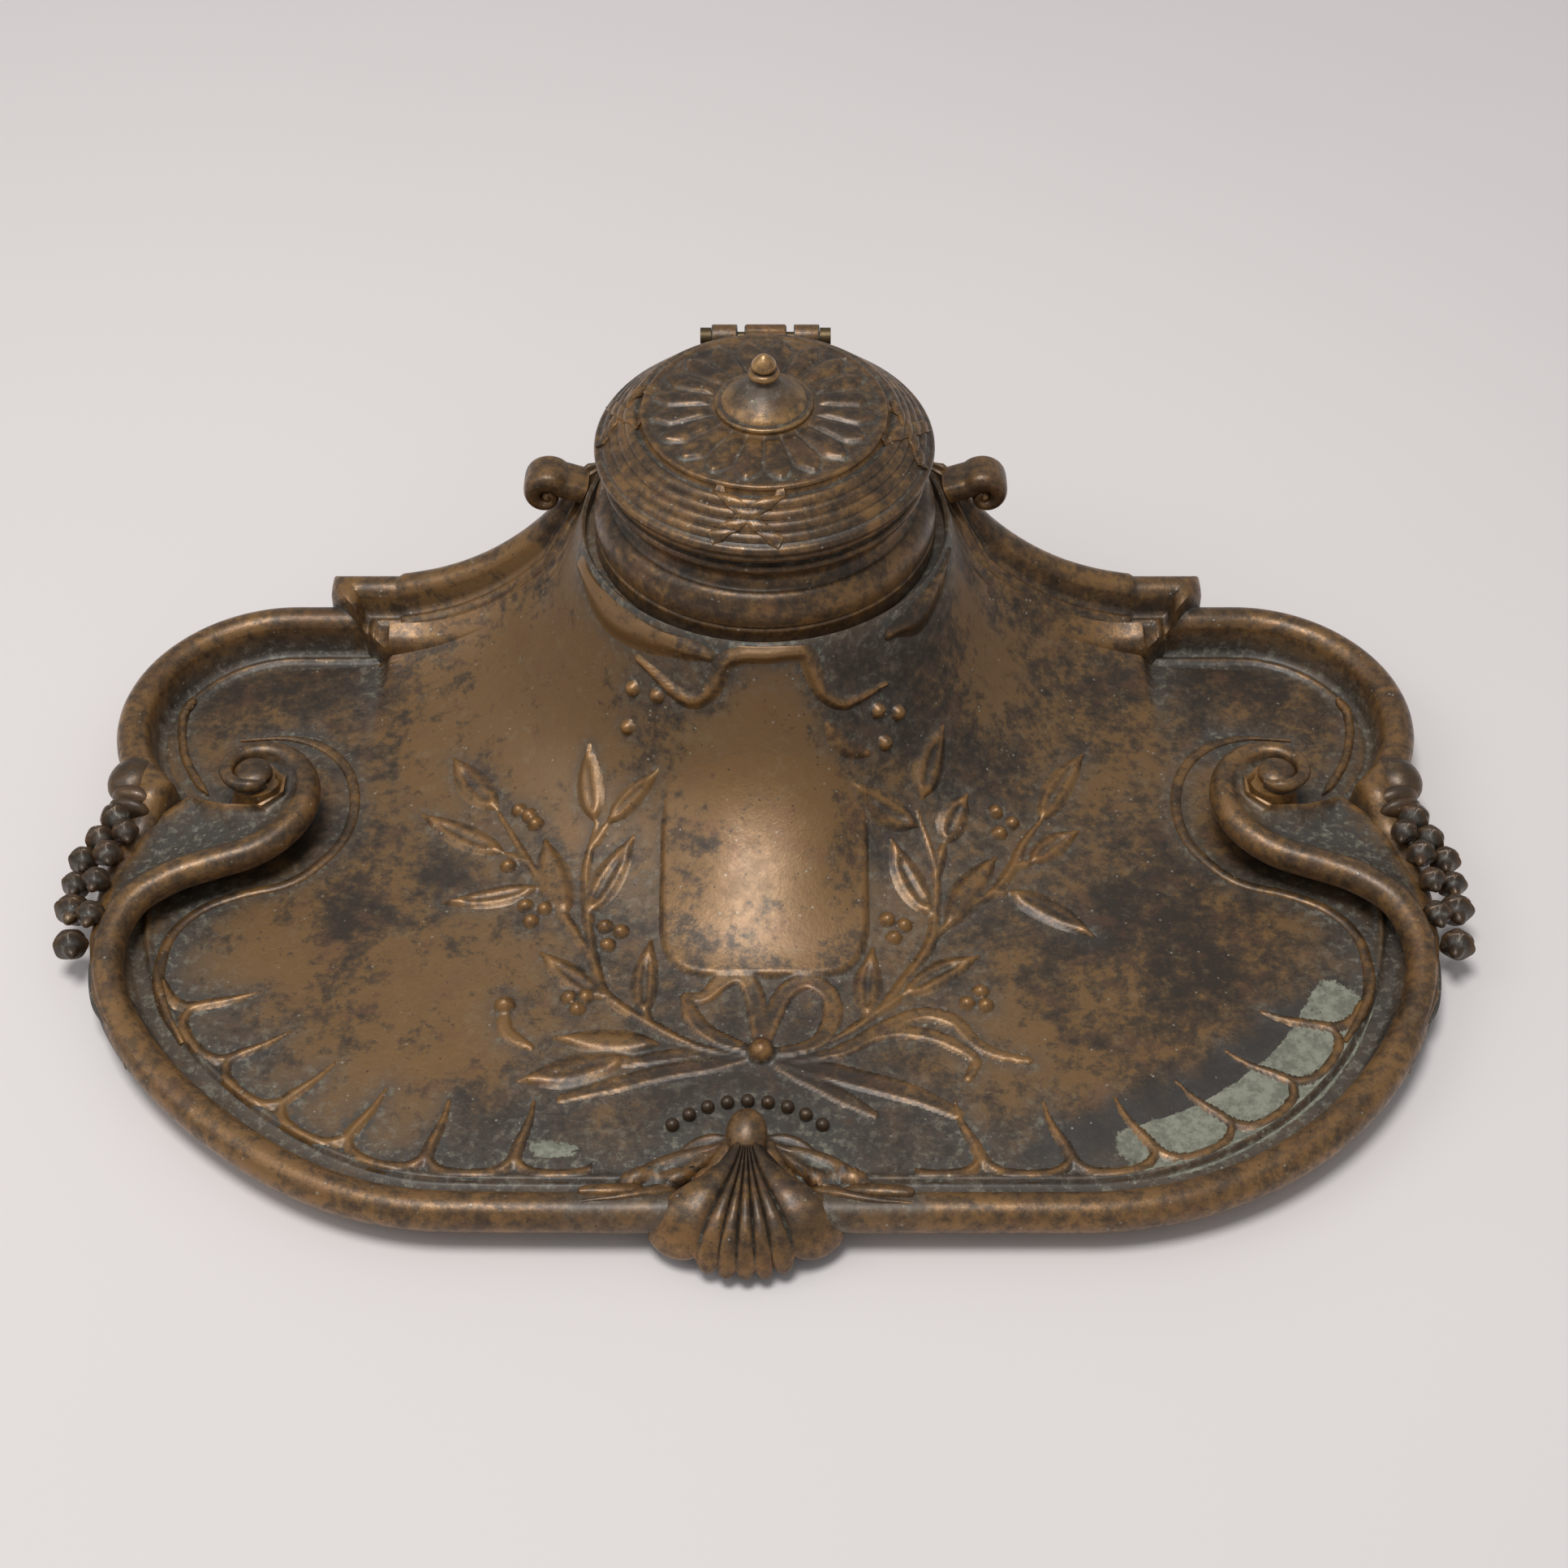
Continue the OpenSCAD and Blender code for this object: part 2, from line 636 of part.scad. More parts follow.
// Points of an arc in a section, from angle a to angle b
function arc_points(c, rx, rz, a, b, n) =
    [for (i = [0 : n]) let (t = mix(a, b, i / n)) [c.x + rx * cos(t), c.y + rz * sin(t)]];

module collar_section() {
    shoulder = ledge_z + 4.4;
    ring_w = collar_base - neck_r - 1.2;
    bead = 0.9;
    polygon(concat(
        [[bore_r, ledge_z - ledge_t - nut_h - 0.8], [nut_bore, ledge_z - ledge_t - nut_h - 0.8]],
        [[nut_bore, ledge_z], [collar_base, ledge_z]],
        arc_points([collar_base - ring_w, shoulder], ring_w, 6, 0, 90, 7),
        arc_points([neck_r + 2.4, shoulder + 8], 2.4, 2.4, 230, 130, 7),
        arc_points([lid_r - 1.2 - bead, collar_top - bead], bead, bead, -90, 90, 8),
        [[seat_r, collar_top], [seat_r, collar_top - seat_h], [bore_r, collar_top - seat_h]]
    ));
}

// One knuckle's arm, from the barrel down to the collar's base
module lug_arm(x) {
    translate([x, 0, 0]) rotate([90, 0, 90]) linear_extrude(height = lug_w) polygon([
        [neck_r - 1, ledge_z + 8], [hinge_y - 1.5, ledge_z + 8], [hinge_y + knuckle_r - 0.7, hinge_z - 4.2],
        [hinge_y + knuckle_r, hinge_z], [hinge_y, hinge_z], [hinge_y - 1.9, hinge_z - 1.9], [neck_r - 1, hinge_z - 1.9]
    ]);
}

module hinge_bore(w, r) {
    translate([-w / 2, hinge_y, hinge_z]) rotate([0, 90, 0]) cylinder(h = w, r = r, $fn = 48);
}

lug_x = tongue_w / 2 + knuckle_gap;
module collar() {
    color("#86602f") at_well() difference() {
        union() {
            rotate_extrude($fn = 96) collar_section();
            for (x = [lug_x, -lug_x - lug_w]) {
                lug_arm(x);
                translate([x, hinge_y, hinge_z]) rotate([0, 90, 0]) cylinder(h = lug_w, r = knuckle_r, $fn = 48);
            }
        }
        translate([0, 0, collar_top - seat_h]) cylinder(h = seat_h + 1, r = seat_r, $fn = 96);
        hinge_bore(2 * (lug_x + lug_w) + 2, pin_r + pin_gap / 2);
    }
}

module collar_nut() {
    color("#6b5332") at_well() translate([0, 0, ledge_z - ledge_t - nut_h]) difference() {
        cylinder(h = nut_h, r = under_r - 0.7, $fn = 96);
        translate([0, 0, -1]) cylinder(h = nut_h + 2, r = nut_bore + 0.05, $fn = 96);
        for (s = [-1, 1]) translate([s * (under_r - 0.7), 0, -1]) cylinder(h = nut_h + 2, r = 1.6, $fn = 24);
    }
}

module ink_pot() {
    top = collar_top - seat_h + flange_t;
    color("#e8e4d8") at_well() rotate_extrude($fn = 96) polygon(concat(
        [[0, pot_z], [pot_r - 2, pot_z]],
        arc_points([pot_r - 2, pot_z + 2], 2, 2, -90, 0, 4),
        [[pot_r, collar_top - seat_h], [spigot_r, collar_top - seat_h], [spigot_r, top], [pot_r - pot_wall, top]],
        arc_points([pot_r - pot_wall - 3, pot_z + pot_wall + 3], 3, 3, 0, -90, 4),
        [[0, pot_z + pot_wall]]
    ));
}

// ---- Lid, rosette and finial

tongue_top = lid_rim - 0.4;
hole_r = stud_r + 0.1;
band_out = [lid_r - lid_rim / 2, lid_z + lid_rim];
band_in = [disc_r + 0.5, disc_z - 0.4];

// Rounded reeds side by side along the sloping band
function reed_points() =
    let (
        run = (band_in - band_out) / reed_count,
        half = norm(run) / 2,
        lean = atan2(run.y, run.x)
    )
    [for (i = [0 : reed_count - 1], t = [1 : 5])
        let (c = band_out + run * (i + 0.5), a = 180 - 30 * t, q = [half * cos(a), half * 0.7 * sin(a)])
        [c.x + q.x * cos(lean) + q.y * sin(lean), c.y + q.x * sin(lean) - q.y * cos(lean)]];

module lid_section() {
    inner = spigot_r - 1.5;
    polygon(concat(
        [[spigot_r, lid_z]],
        arc_points([lid_r - lid_rim / 2, lid_z + lid_rim / 2], lid_rim / 2, lid_rim / 2, -90, 90, 10),
        reed_points(),
        [band_in, [disc_r, disc_z - 0.4], [disc_r, disc_z], [finial_r, dome_z], [hole_r, dome_z]],
        [[hole_r, dome_z - lid_wall], [finial_r, dome_z - lid_wall], [disc_r - 1, disc_z - lid_wall - 0.4]],
        [[inner, lid_z + 2.4], [inner, lid_z - spigot_h], [spigot_r, lid_z - spigot_h]]
    ));
}

// The ties sit a little to the left of the front and the sides
tie_turn = 6;
// A ribbon that binds the reeds, as two crossed straps
module ribbon_tie() {
    for (s = [-1, 1]) {
        a = [s * 6.5, -band_out.x * 0.975, band_out.y + 0.3];
        b = [-s * 6.5, -band_in.x * 0.985, band_in.y - 0.2];
        d = b - a;
        translate(a) rotate([0, acos(d.z / norm(d)), atan2(d.y, d.x)]) cylinder(h = norm(d), r = 0.9, $fn = 24);
    }
}

module tongue() {
    w = tongue_w;
    translate([-w / 2, hinge_y, hinge_z]) rotate([0, 90, 0]) cylinder(h = w, r = knuckle_r, $fn = 48);
    translate([-w / 2, 0, 0]) rotate([90, 0, 90]) linear_extrude(height = w) polygon([
        [lid_r - 3, lid_z + 0.6], [hinge_y - 1, lid_z + 0.6], [hinge_y, hinge_z + knuckle_r],
        [lid_r - 0.4, lid_z + tongue_top], [lid_r - 3, lid_z + tongue_top]
    ]);
}

module lid() {
    color("#77572f") at_well() difference() {
        union() {
            rotate_extrude($fn = 96) lid_section();
            for (a = [0, 90, 270]) rotate([0, 0, a - tie_turn]) ribbon_tie();
            tongue();
        }
        hinge_bore(tongue_w + 2, pin_r + pin_gap);
    }
}

// The rosette is a disc with a ring of petals; its skin has three columns to a petal
petal_h = 1.3;
petal_bulge = [0, 1, 1];
function rosette_top(r) =
    dome_z + solder + rosette_t - (r - finial_r) * dome_rise / (disc_r - finial_r);
// Radius and share of the petal's height at each point of the section
rosette_rows = [
    [disc_r - 0.4, 0], [disc_r - 1.2, 0], [disc_r - 2.2, 0.8], [disc_r - 4.5, 1],
    [mix(disc_r, finial_r, 0.55), 0.8], [finial_r + 1.2, 0.4], [finial_r, 0]
];
function rosette_column(i) =
    let (
        a = 360 / (petal_count * len(petal_bulge)) * i,
        bulge = petal_h * petal_bulge[i % len(petal_bulge)],
        edge = disc_r - 0.4,
        mid_z = dome_z + solder,
        section = concat(
            [[edge, rosette_top(edge) - rosette_t]],
            [for (q = rosette_rows) [q[0], rosette_top(q[0]) + bulge * q[1]]],
            [[hole_r, mid_z + rosette_t], [hole_r, mid_z], [finial_r, mid_z]]
        )
    )
    [for (q = section) [q.x * cos(a), q.x * sin(a), q.y]];

module lid_rosette() {
    color("#80602f") at_well()
        skin([for (i = [0 : petal_count * len(petal_bulge) - 1]) rosette_column(i)]);
}

module finial() {
    z = rosette_z;
    tip = z + finial_h;
    stud = dome_z - lid_wall - 3;
    color("#b98c48") at_well() rotate_extrude($fn = 64) polygon(concat(
        [[0, stud], [stud_r, stud], [stud_r, z], [finial_r, z]],
        arc_points([finial_r - 0.5, z + 0.5], 0.5, 0.5, -60, 90, 5),
        [[finial_r - 1, z + 1], [finial_r - 1.3, z + 1.4], [2.1, tip - 5.1]],
        arc_points([1.9, tip - 3.9], 1.05, 1, -70, 80, 6),
        arc_points([0, tip - 1.75], 1.75, 1.75, -45, 90, 8)
    ));
}

module finial_nut() {
    h = 2.2;
    color("#6b5332") at_well() translate([0, 0, dome_z - lid_wall - h]) difference() {
        cylinder(h = h, r = stud_r + 2, $fn = 6);
        translate([0, 0, -1]) cylinder(h = h + 2, r = stud_r + 0.05, $fn = 32);
    }
}

// ---- Hinge pin with a head at each end

module hinge_pin() {
    half = lug_x + lug_w + 0.1;
    head_t = 2.1;
    color("#5a4632") at_well() translate([0, hinge_y, hinge_z]) rotate([0, 90, 0]) {
        translate([0, 0, -half]) cylinder(h = 2 * half, r = pin_r, $fn = 48);
        for (s = [-1, 1]) {
            translate([0, 0, s > 0 ? half : -half - head_t]) cylinder(h = head_t, r = pin_r + 0.8, $fn = 48);
        }
    }
}

tray();
scroll_left();
scroll_right();
curl_left();
curl_right();
front_shell();
shell_pearls();
husks_left();
husks_right();
collar();
collar_nut();
ink_pot();
hinge_pin();
lid();
lid_rosette();
finial();
finial_nut();
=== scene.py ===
"""Cast bronze desk inkstand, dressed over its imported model.

The dish is one free-form casting, so its skin is computed from the sizes that the
part's source uses. Leaves, berries, beads, turned parts and scrolls are modelled on it.
Sizes in this file are millimetres from the axis of the ink well, with -Y to the front.
"""

import logging
import math
from dataclasses import dataclass
from enum import Enum
from typing import Callable, Sequence

import bpy
import numpy as np
from mathutils import Euler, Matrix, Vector
from mathutils.bvhtree import BVHTree
from mathutils.kdtree import KDTree


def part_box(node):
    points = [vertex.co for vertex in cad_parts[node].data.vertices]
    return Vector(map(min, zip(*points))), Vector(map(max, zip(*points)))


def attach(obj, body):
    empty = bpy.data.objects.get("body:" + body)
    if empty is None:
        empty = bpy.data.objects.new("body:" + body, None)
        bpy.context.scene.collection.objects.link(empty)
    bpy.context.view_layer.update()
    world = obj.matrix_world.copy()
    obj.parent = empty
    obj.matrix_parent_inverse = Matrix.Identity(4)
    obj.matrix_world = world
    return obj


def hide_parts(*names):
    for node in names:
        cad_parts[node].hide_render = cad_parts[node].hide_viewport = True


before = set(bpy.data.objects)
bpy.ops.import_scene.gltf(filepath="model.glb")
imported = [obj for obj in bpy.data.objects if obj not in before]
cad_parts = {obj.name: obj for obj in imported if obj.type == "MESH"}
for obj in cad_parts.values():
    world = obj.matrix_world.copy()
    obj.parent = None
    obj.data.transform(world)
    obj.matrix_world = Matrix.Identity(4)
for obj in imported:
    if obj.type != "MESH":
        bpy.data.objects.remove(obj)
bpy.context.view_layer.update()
LOG = logging.getLogger("inkstand")
MM = 0.001
POT_LOW, POT_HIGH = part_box("ink_pot")
WELL_Y = (POT_LOW.y + POT_HIGH.y) / 2 / MM
# Height from which ornament is dropped onto a surface, and radius of a turned part's tip
ABOVE = 200
AXIS_R = 0.001
Colour = tuple[float, float, float]
Point2 = tuple[float, float]
Point3 = tuple[float, float, float]


class Side(Enum):
    """The two mirrored halves of the dish."""

    LEFT = -1
    RIGHT = 1


class Body(Enum):
    """The rigid bodies that pieces ride on."""

    STAND = "stand"
    LID = "lid"


# ---- Plain helpers


def mix(a: float, b: float, t: float) -> float:
    """Returns the value a share t of the way from a to b."""
    return a + (b - a) * t


def limit(v: float, low: float = 0.0, high: float = 1.0) -> float:
    """Returns v kept between low and high."""
    return max(low, min(high, v))


def ease(v: float) -> float:
    """Returns v from 0 to 1 with soft ends."""
    v = limit(v)
    return v * v * (3 - 2 * v)


def unit(values: np.ndarray) -> np.ndarray:
    """Returns an array's values kept between 0 and 1."""
    return np.clip(values, 0, 1)


def eased(values: np.ndarray) -> np.ndarray:
    """Returns an array's values from 0 to 1 with soft ends."""
    values = unit(values)
    return values * values * (3 - 2 * values)


def smoothed(grid: np.ndarray, rounds: int) -> np.ndarray:
    """Returns a grid of numbers, smoothed inside its edge as many rounds as asked."""
    grid = grid.copy()
    for _ in range(rounds):
        beside = grid[2:, 1:-1] + grid[:-2, 1:-1] + grid[1:-1, 2:] + grid[1:-1, :-2]
        grid[1:-1, 1:-1] = 0.5 * grid[1:-1, 1:-1] + 0.125 * beside
    return grid


def polar(r: float, a: float) -> Point2:
    """Returns the plan point at radius r and angle a in degrees."""
    return r * math.cos(math.radians(a)), r * math.sin(math.radians(a))


def place(p: Sequence[float]) -> Vector:
    """Returns a point of this file's millimetres in the part's frame, in metres."""
    return Vector((p[0] * MM, (p[1] + WELL_Y) * MM, p[2] * MM))


def rounded_path(points: Sequence[Sequence[float]], steps: int = 10) -> np.ndarray:
    """Passes a smooth curve through a few points.

    Args:
        points: the points that the curve passes through.
        steps: how many short stretches lie between neighbouring points.

    Returns:
        The points of the curve, one row each.
    """
    p = np.array(points, float)
    p = np.vstack([2 * p[0] - p[1], p, 2 * p[-1] - p[-2]])
    out = []
    for i in range(1, len(p) - 2):
        a, b, c, d = p[i - 1], p[i], p[i + 1], p[i + 2]
        for k in range(steps):
            t = k / steps
            out.append(0.5 * (2 * b + (c - a) * t + (2 * a - 5 * b + 4 * c - d) * t * t
                              + (3 * b - a - 3 * c + d) * t ** 3))
    out.append(p[-2])
    return np.array(out)


def only(*pieces: bpy.types.Object) -> None:
    """Selects these pieces and nothing else."""
    bpy.ops.object.select_all(action="DESELECT")
    for piece in pieces:
        piece.select_set(True)
    bpy.context.view_layer.objects.active = pieces[0]


def mend(piece: bpy.types.Object, angle: float = 60.0) -> bpy.types.Object:
    """Merges doubled points, turns the faces outwards and shades the piece.

    Args:
        piece: the piece to mend.
        angle: edges sharper than this many degrees stay sharp.

    Returns:
        The same piece.
    """
    only(piece)
    bpy.ops.object.mode_set(mode="EDIT")
    bpy.ops.mesh.select_all(action="SELECT")
    bpy.ops.mesh.remove_doubles(threshold=0.000004)
    bpy.ops.mesh.normals_make_consistent(inside=False)
    bpy.ops.object.mode_set(mode="OBJECT")
    bpy.ops.object.shade_smooth_by_angle(angle=math.radians(angle))
    return piece


def outward(piece: bpy.types.Object) -> bpy.types.Object:
    """Turns a single closed skin inside out if it holds a negative volume, and returns it."""
    mesh = piece.data
    mesh.calc_loop_triangles()
    co = np.array([v.co for v in mesh.vertices])
    a, b, c = (co[[t.vertices[k] for t in mesh.loop_triangles]] for k in range(3))
    if (a * np.cross(b, c)).sum() < 0:
        mesh.flip_normals()
    return piece


def bevelled(piece: bpy.types.Object, offset: float, segments: int) -> bpy.types.Object:
    """Rounds all edges of a piece that has just been made, and returns it."""
    bpy.ops.object.mode_set(mode="EDIT")
    bpy.ops.mesh.bevel(offset=offset * MM, segments=segments, affect="EDGES")
    bpy.ops.object.mode_set(mode="OBJECT")
    return piece


def joined(pieces: Sequence[bpy.types.Object], name: str) -> bpy.types.Object:
    """Joins pieces into the first of them and sets its place in its mesh."""
    only(*pieces)
    bpy.ops.object.transform_apply(location=True, rotation=True, scale=True)
    if len(pieces) > 1:
        bpy.ops.object.join()
    piece = bpy.context.view_layer.objects.active
    piece.name = name
    piece.data.name = name
    return piece


def meshed(name: str, points: Sequence[Sequence[float]], edges: Sequence[tuple[int, int]],
           faces: Sequence[Sequence[int]]) -> bpy.types.Object:
    """Makes an object of points in metres, edges and faces, and returns it."""
    mesh = bpy.data.meshes.new(name)
    mesh.from_pydata(points, edges, faces)
    piece = bpy.data.objects.new(name, mesh)
    bpy.context.scene.collection.objects.link(piece)
    return piece


def skin(name: str, rows: np.ndarray, ring: bool = False) -> bpy.types.Object:
    """Makes a closed skin over rows of points, each row a closed loop.

    Args:
        name: the piece's name.
        rows: an array of rows, points and coordinates in this file's millimetres.
        ring: whether the last row joins the first; otherwise both ends are capped.

    Returns:
        The new piece.
    """
    n, m = rows.shape[:2]
    points = rows.reshape(-1, 3) * MM
    points[:, 1] += WELL_Y * MM
    i, j = np.meshgrid(np.arange(n if ring else n - 1), np.arange(m), indexing="ij")
    here, over = i * m + j, i * m + (j + 1) % m
    up, both = (i + 1) % n * m + j, (i + 1) % n * m + (j + 1) % m
    faces = np.stack([here, over, both, up], -1).reshape(-1, 4).tolist()
    if not ring:
        faces += [list(range(m)), list(range((n - 1) * m, n * m))]
    return meshed(name, points.tolist(), [], faces)


def turned(name: str, profile: Sequence[Point2], steps: int) -> bpy.types.Object:
    """Turns a closed profile about the axis of the well with the spin tool.

    Args:
        name: the piece's name.
        profile: radius and height of each point of the profile.
        steps: how many stretches lie round the turn.

    Returns:
        The new piece.
    """
    count = len(profile)
    loop = [(i, (i + 1) % count) for i in range(count)]
    piece = meshed(name, [place((r, 0, z)) for r, z in profile], loop, [])
    only(piece)
    bpy.ops.object.mode_set(mode="EDIT")
    bpy.ops.mesh.select_all(action="SELECT")
    bpy.ops.mesh.spin(steps=steps, angle=2 * math.pi, center=place((0, 0, 0)), axis=(0, 0, 1),
                      use_auto_merge=True)
    bpy.ops.object.mode_set(mode="OBJECT")
    return piece


def arc(c: Point2, rx: float, rz: float, a: float, b: float, n: int) -> list[Point2]:
    """Returns the points of an arc in a profile, from angle a to angle b."""
    return [(c[0] + rx * math.cos(math.radians(mix(a, b, i / n))),
             c[1] + rz * math.sin(math.radians(mix(a, b, i / n)))) for i in range(n + 1)]


def ball(centre: Point3, size: Point3, turn: Point3 = (0, 0, 0), fine: int = 20) -> bpy.types.Object:
    """Adds a bead with the sphere tool.

    Args:
        centre: its middle.
        size: its half sizes before it is turned.
        turn: its turn about X, Y and Z in degrees.
        fine: how many faces lie round it.

    Returns:
        The bead.
    """
    bpy.ops.mesh.primitive_uv_sphere_add(
        segments=fine, ring_count=max(6, fine // 2), radius=MM, location=place(centre),
        rotation=[math.radians(v) for v in turn], scale=size)
    return bpy.context.object


class Ground:
    """The surface of a piece, on which ornament is laid from above."""

    def __init__(self, piece: bpy.types.Object) -> None:
        """Reads the piece's mesh into a search tree."""
        mesh = piece.data
        faces = [tuple(p.vertices) for p in mesh.polygons]
        self.tree = BVHTree.FromPolygons([v.co for v in mesh.vertices], faces)

    def hit(self, x: float, y: float) -> tuple[float, Vector]:
        """Returns the height and the outward normal of the surface over a plan point."""
        spot, normal = self.tree.ray_cast(place((x, y, ABOVE)), Vector((0, 0, -1)))[:2]
        return (spot.z / MM, normal) if spot else (0.0, Vector((0, 0, 1)))

    def on(self, x: float, y: float, lift: float = 0.0) -> np.ndarray:
        """Returns the point of the surface over a plan point, raised along its normal."""
        z, normal = self.hit(x, y)
        return np.array((x, y, z)) + lift * np.array(normal)


def band(name: str, ground: Ground, points: Sequence[Point2], width: Callable[[float], float],
         height: Callable[[float], float], steps: int = 8, crown: float = 1.0,
         groove: float = 0.0) -> bpy.types.Object:
    """Lays a raised band along a path on a surface.

    Args:
        name: the piece's name.
        ground: the surface.
        points: plan points of the path.
        width: half width at a share of the length.
        height: height above the surface at a share of the length.
        steps: stretches between neighbouring points.
        crown: 1 for a round top, smaller for a flatter one.
        groove: share of the height that a groove down its middle takes away.

    Returns:
        The band.
    """
    path = rounded_path(points, steps)
    last = len(path) - 1
    count = 16 if groove else 8
    bedded, buried, groove_w = -0.08, -0.5, 0.45
    rows = []
    for i, p in enumerate(path):
        t = i / last
        d = path[min(i + 1, last)] - path[max(i - 1, 0)]
        side = np.array((-d[1], d[0])) / max(1e-6, math.hypot(*d))
        w, h = width(t), height(t)
        row = []
        for k in range(count + 1):
            a = math.radians(mix(0, 180, k / count))
            q = p + side * w * math.cos(a)
            sunk = groove * math.exp(-(math.cos(a) / groove_w) ** 2) * math.sin(math.pi * t)
            row.append(ground.on(q[0], q[1], h * math.sin(a) ** crown * (1 - sunk) + bedded))
        row += [ground.on(*(p + side * w * s), buried) for s in (-1, 1)]
        rows.append(row)
    return skin(name, np.array(rows))


def numbers(items: bpy.types.bpy_prop_collection, key: str, width: int, kind: type = float) -> np.ndarray:
    """Reads a value of each item of a mesh.

    Args:
        items: the mesh's points, edges or the numbers of a mark.
        key: the value's name.
        width: how many numbers each item holds.
        kind: the type of the numbers.

    Returns:
        The numbers, one row for each item.
    """
    values = np.empty(len(items) * width, kind)
    items.foreach_get(key, values)
    return values.reshape(-1, width)


def weather(piece: bpy.types.Object, fine: int, broad: int, gain: float = 1.0) -> None:
    """Stores how far each point stands out of its surroundings, for wear and grime.

    Args:
        piece: the piece, whose mesh is final.
        fine: rounds of smoothing for the worn ridges.
        broad: rounds of smoothing for the hollows.
        gain: strength of both.
    """
    mesh = piece.data
    count = len(mesh.vertices)
    co = numbers(mesh.vertices, "co", 3)
    normal = numbers(mesh.vertices, "normal", 3)
    a, b = numbers(mesh.edges, "vertices", 2, int).T
    ends = np.r_[a, b]
    degree = np.maximum(1, np.bincount(ends, minlength=count))
    soft = co.copy()
    marks = {}
    for step in range(1, broad + 1):
        total = np.stack([np.bincount(ends, np.r_[soft[b, k], soft[a, k]], count) for k in range(3)], 1)
        soft = 0.5 * soft + 0.5 * total / degree[:, None]
        if step in (fine, broad):
            marks[step] = ((co - soft) * normal).sum(1) / MM * gain
    ridge = unit(marks[fine] * 6) * 0.5 + unit(marks[broad] * 1.6) * 0.7
    hollow = unit(-marks[broad] * 2.2) + unit(-marks[fine] * 5) * 0.5
    paint(piece, "ridge", unit(ridge))
    paint(piece, "hollow", unit(hollow))


def paint(piece: bpy.types.Object, name: str, values: np.ndarray) -> None:
    """Stores one number per point under a name that a finish reads."""
    mark = piece.data.attributes.get(name) or piece.data.attributes.new(name, "FLOAT", "POINT")
    mark.data.foreach_set("value", np.asarray(values, np.float32))


def gaps(mesh: bpy.types.Mesh, clouds: Sequence[np.ndarray]) -> np.ndarray:
    """Measures how far a mesh's points lie from clouds of points.

    Args:
        mesh: the mesh.
        clouds: arrays of points in metres.

    Returns:
        The distance of each point in millimetres.
    """
    points = np.vstack(clouds)
    tree = KDTree(len(points))
    for i, p in enumerate(points):
        tree.insert(p, i)
    tree.balance()
    return np.array([tree.find(v.co)[2] / MM for v in mesh.vertices])


def points_of(piece: bpy.types.Object, low: float = 0.0, high: float = ABOVE) -> np.ndarray:
    """Returns every second point of a piece between two heights, in metres."""
    co = numbers(piece.data.vertices, "co", 3)
    return co[(co[:, 2] > low * MM) & (co[:, 2] < high * MM)][::2]


def mark_of(mesh: bpy.types.Mesh, name: str) -> np.ndarray:
    """Returns the numbers stored under a name."""
    return numbers(mesh.attributes[name].data, "value", 1, np.float32)[:, 0]


# ---- Finishes


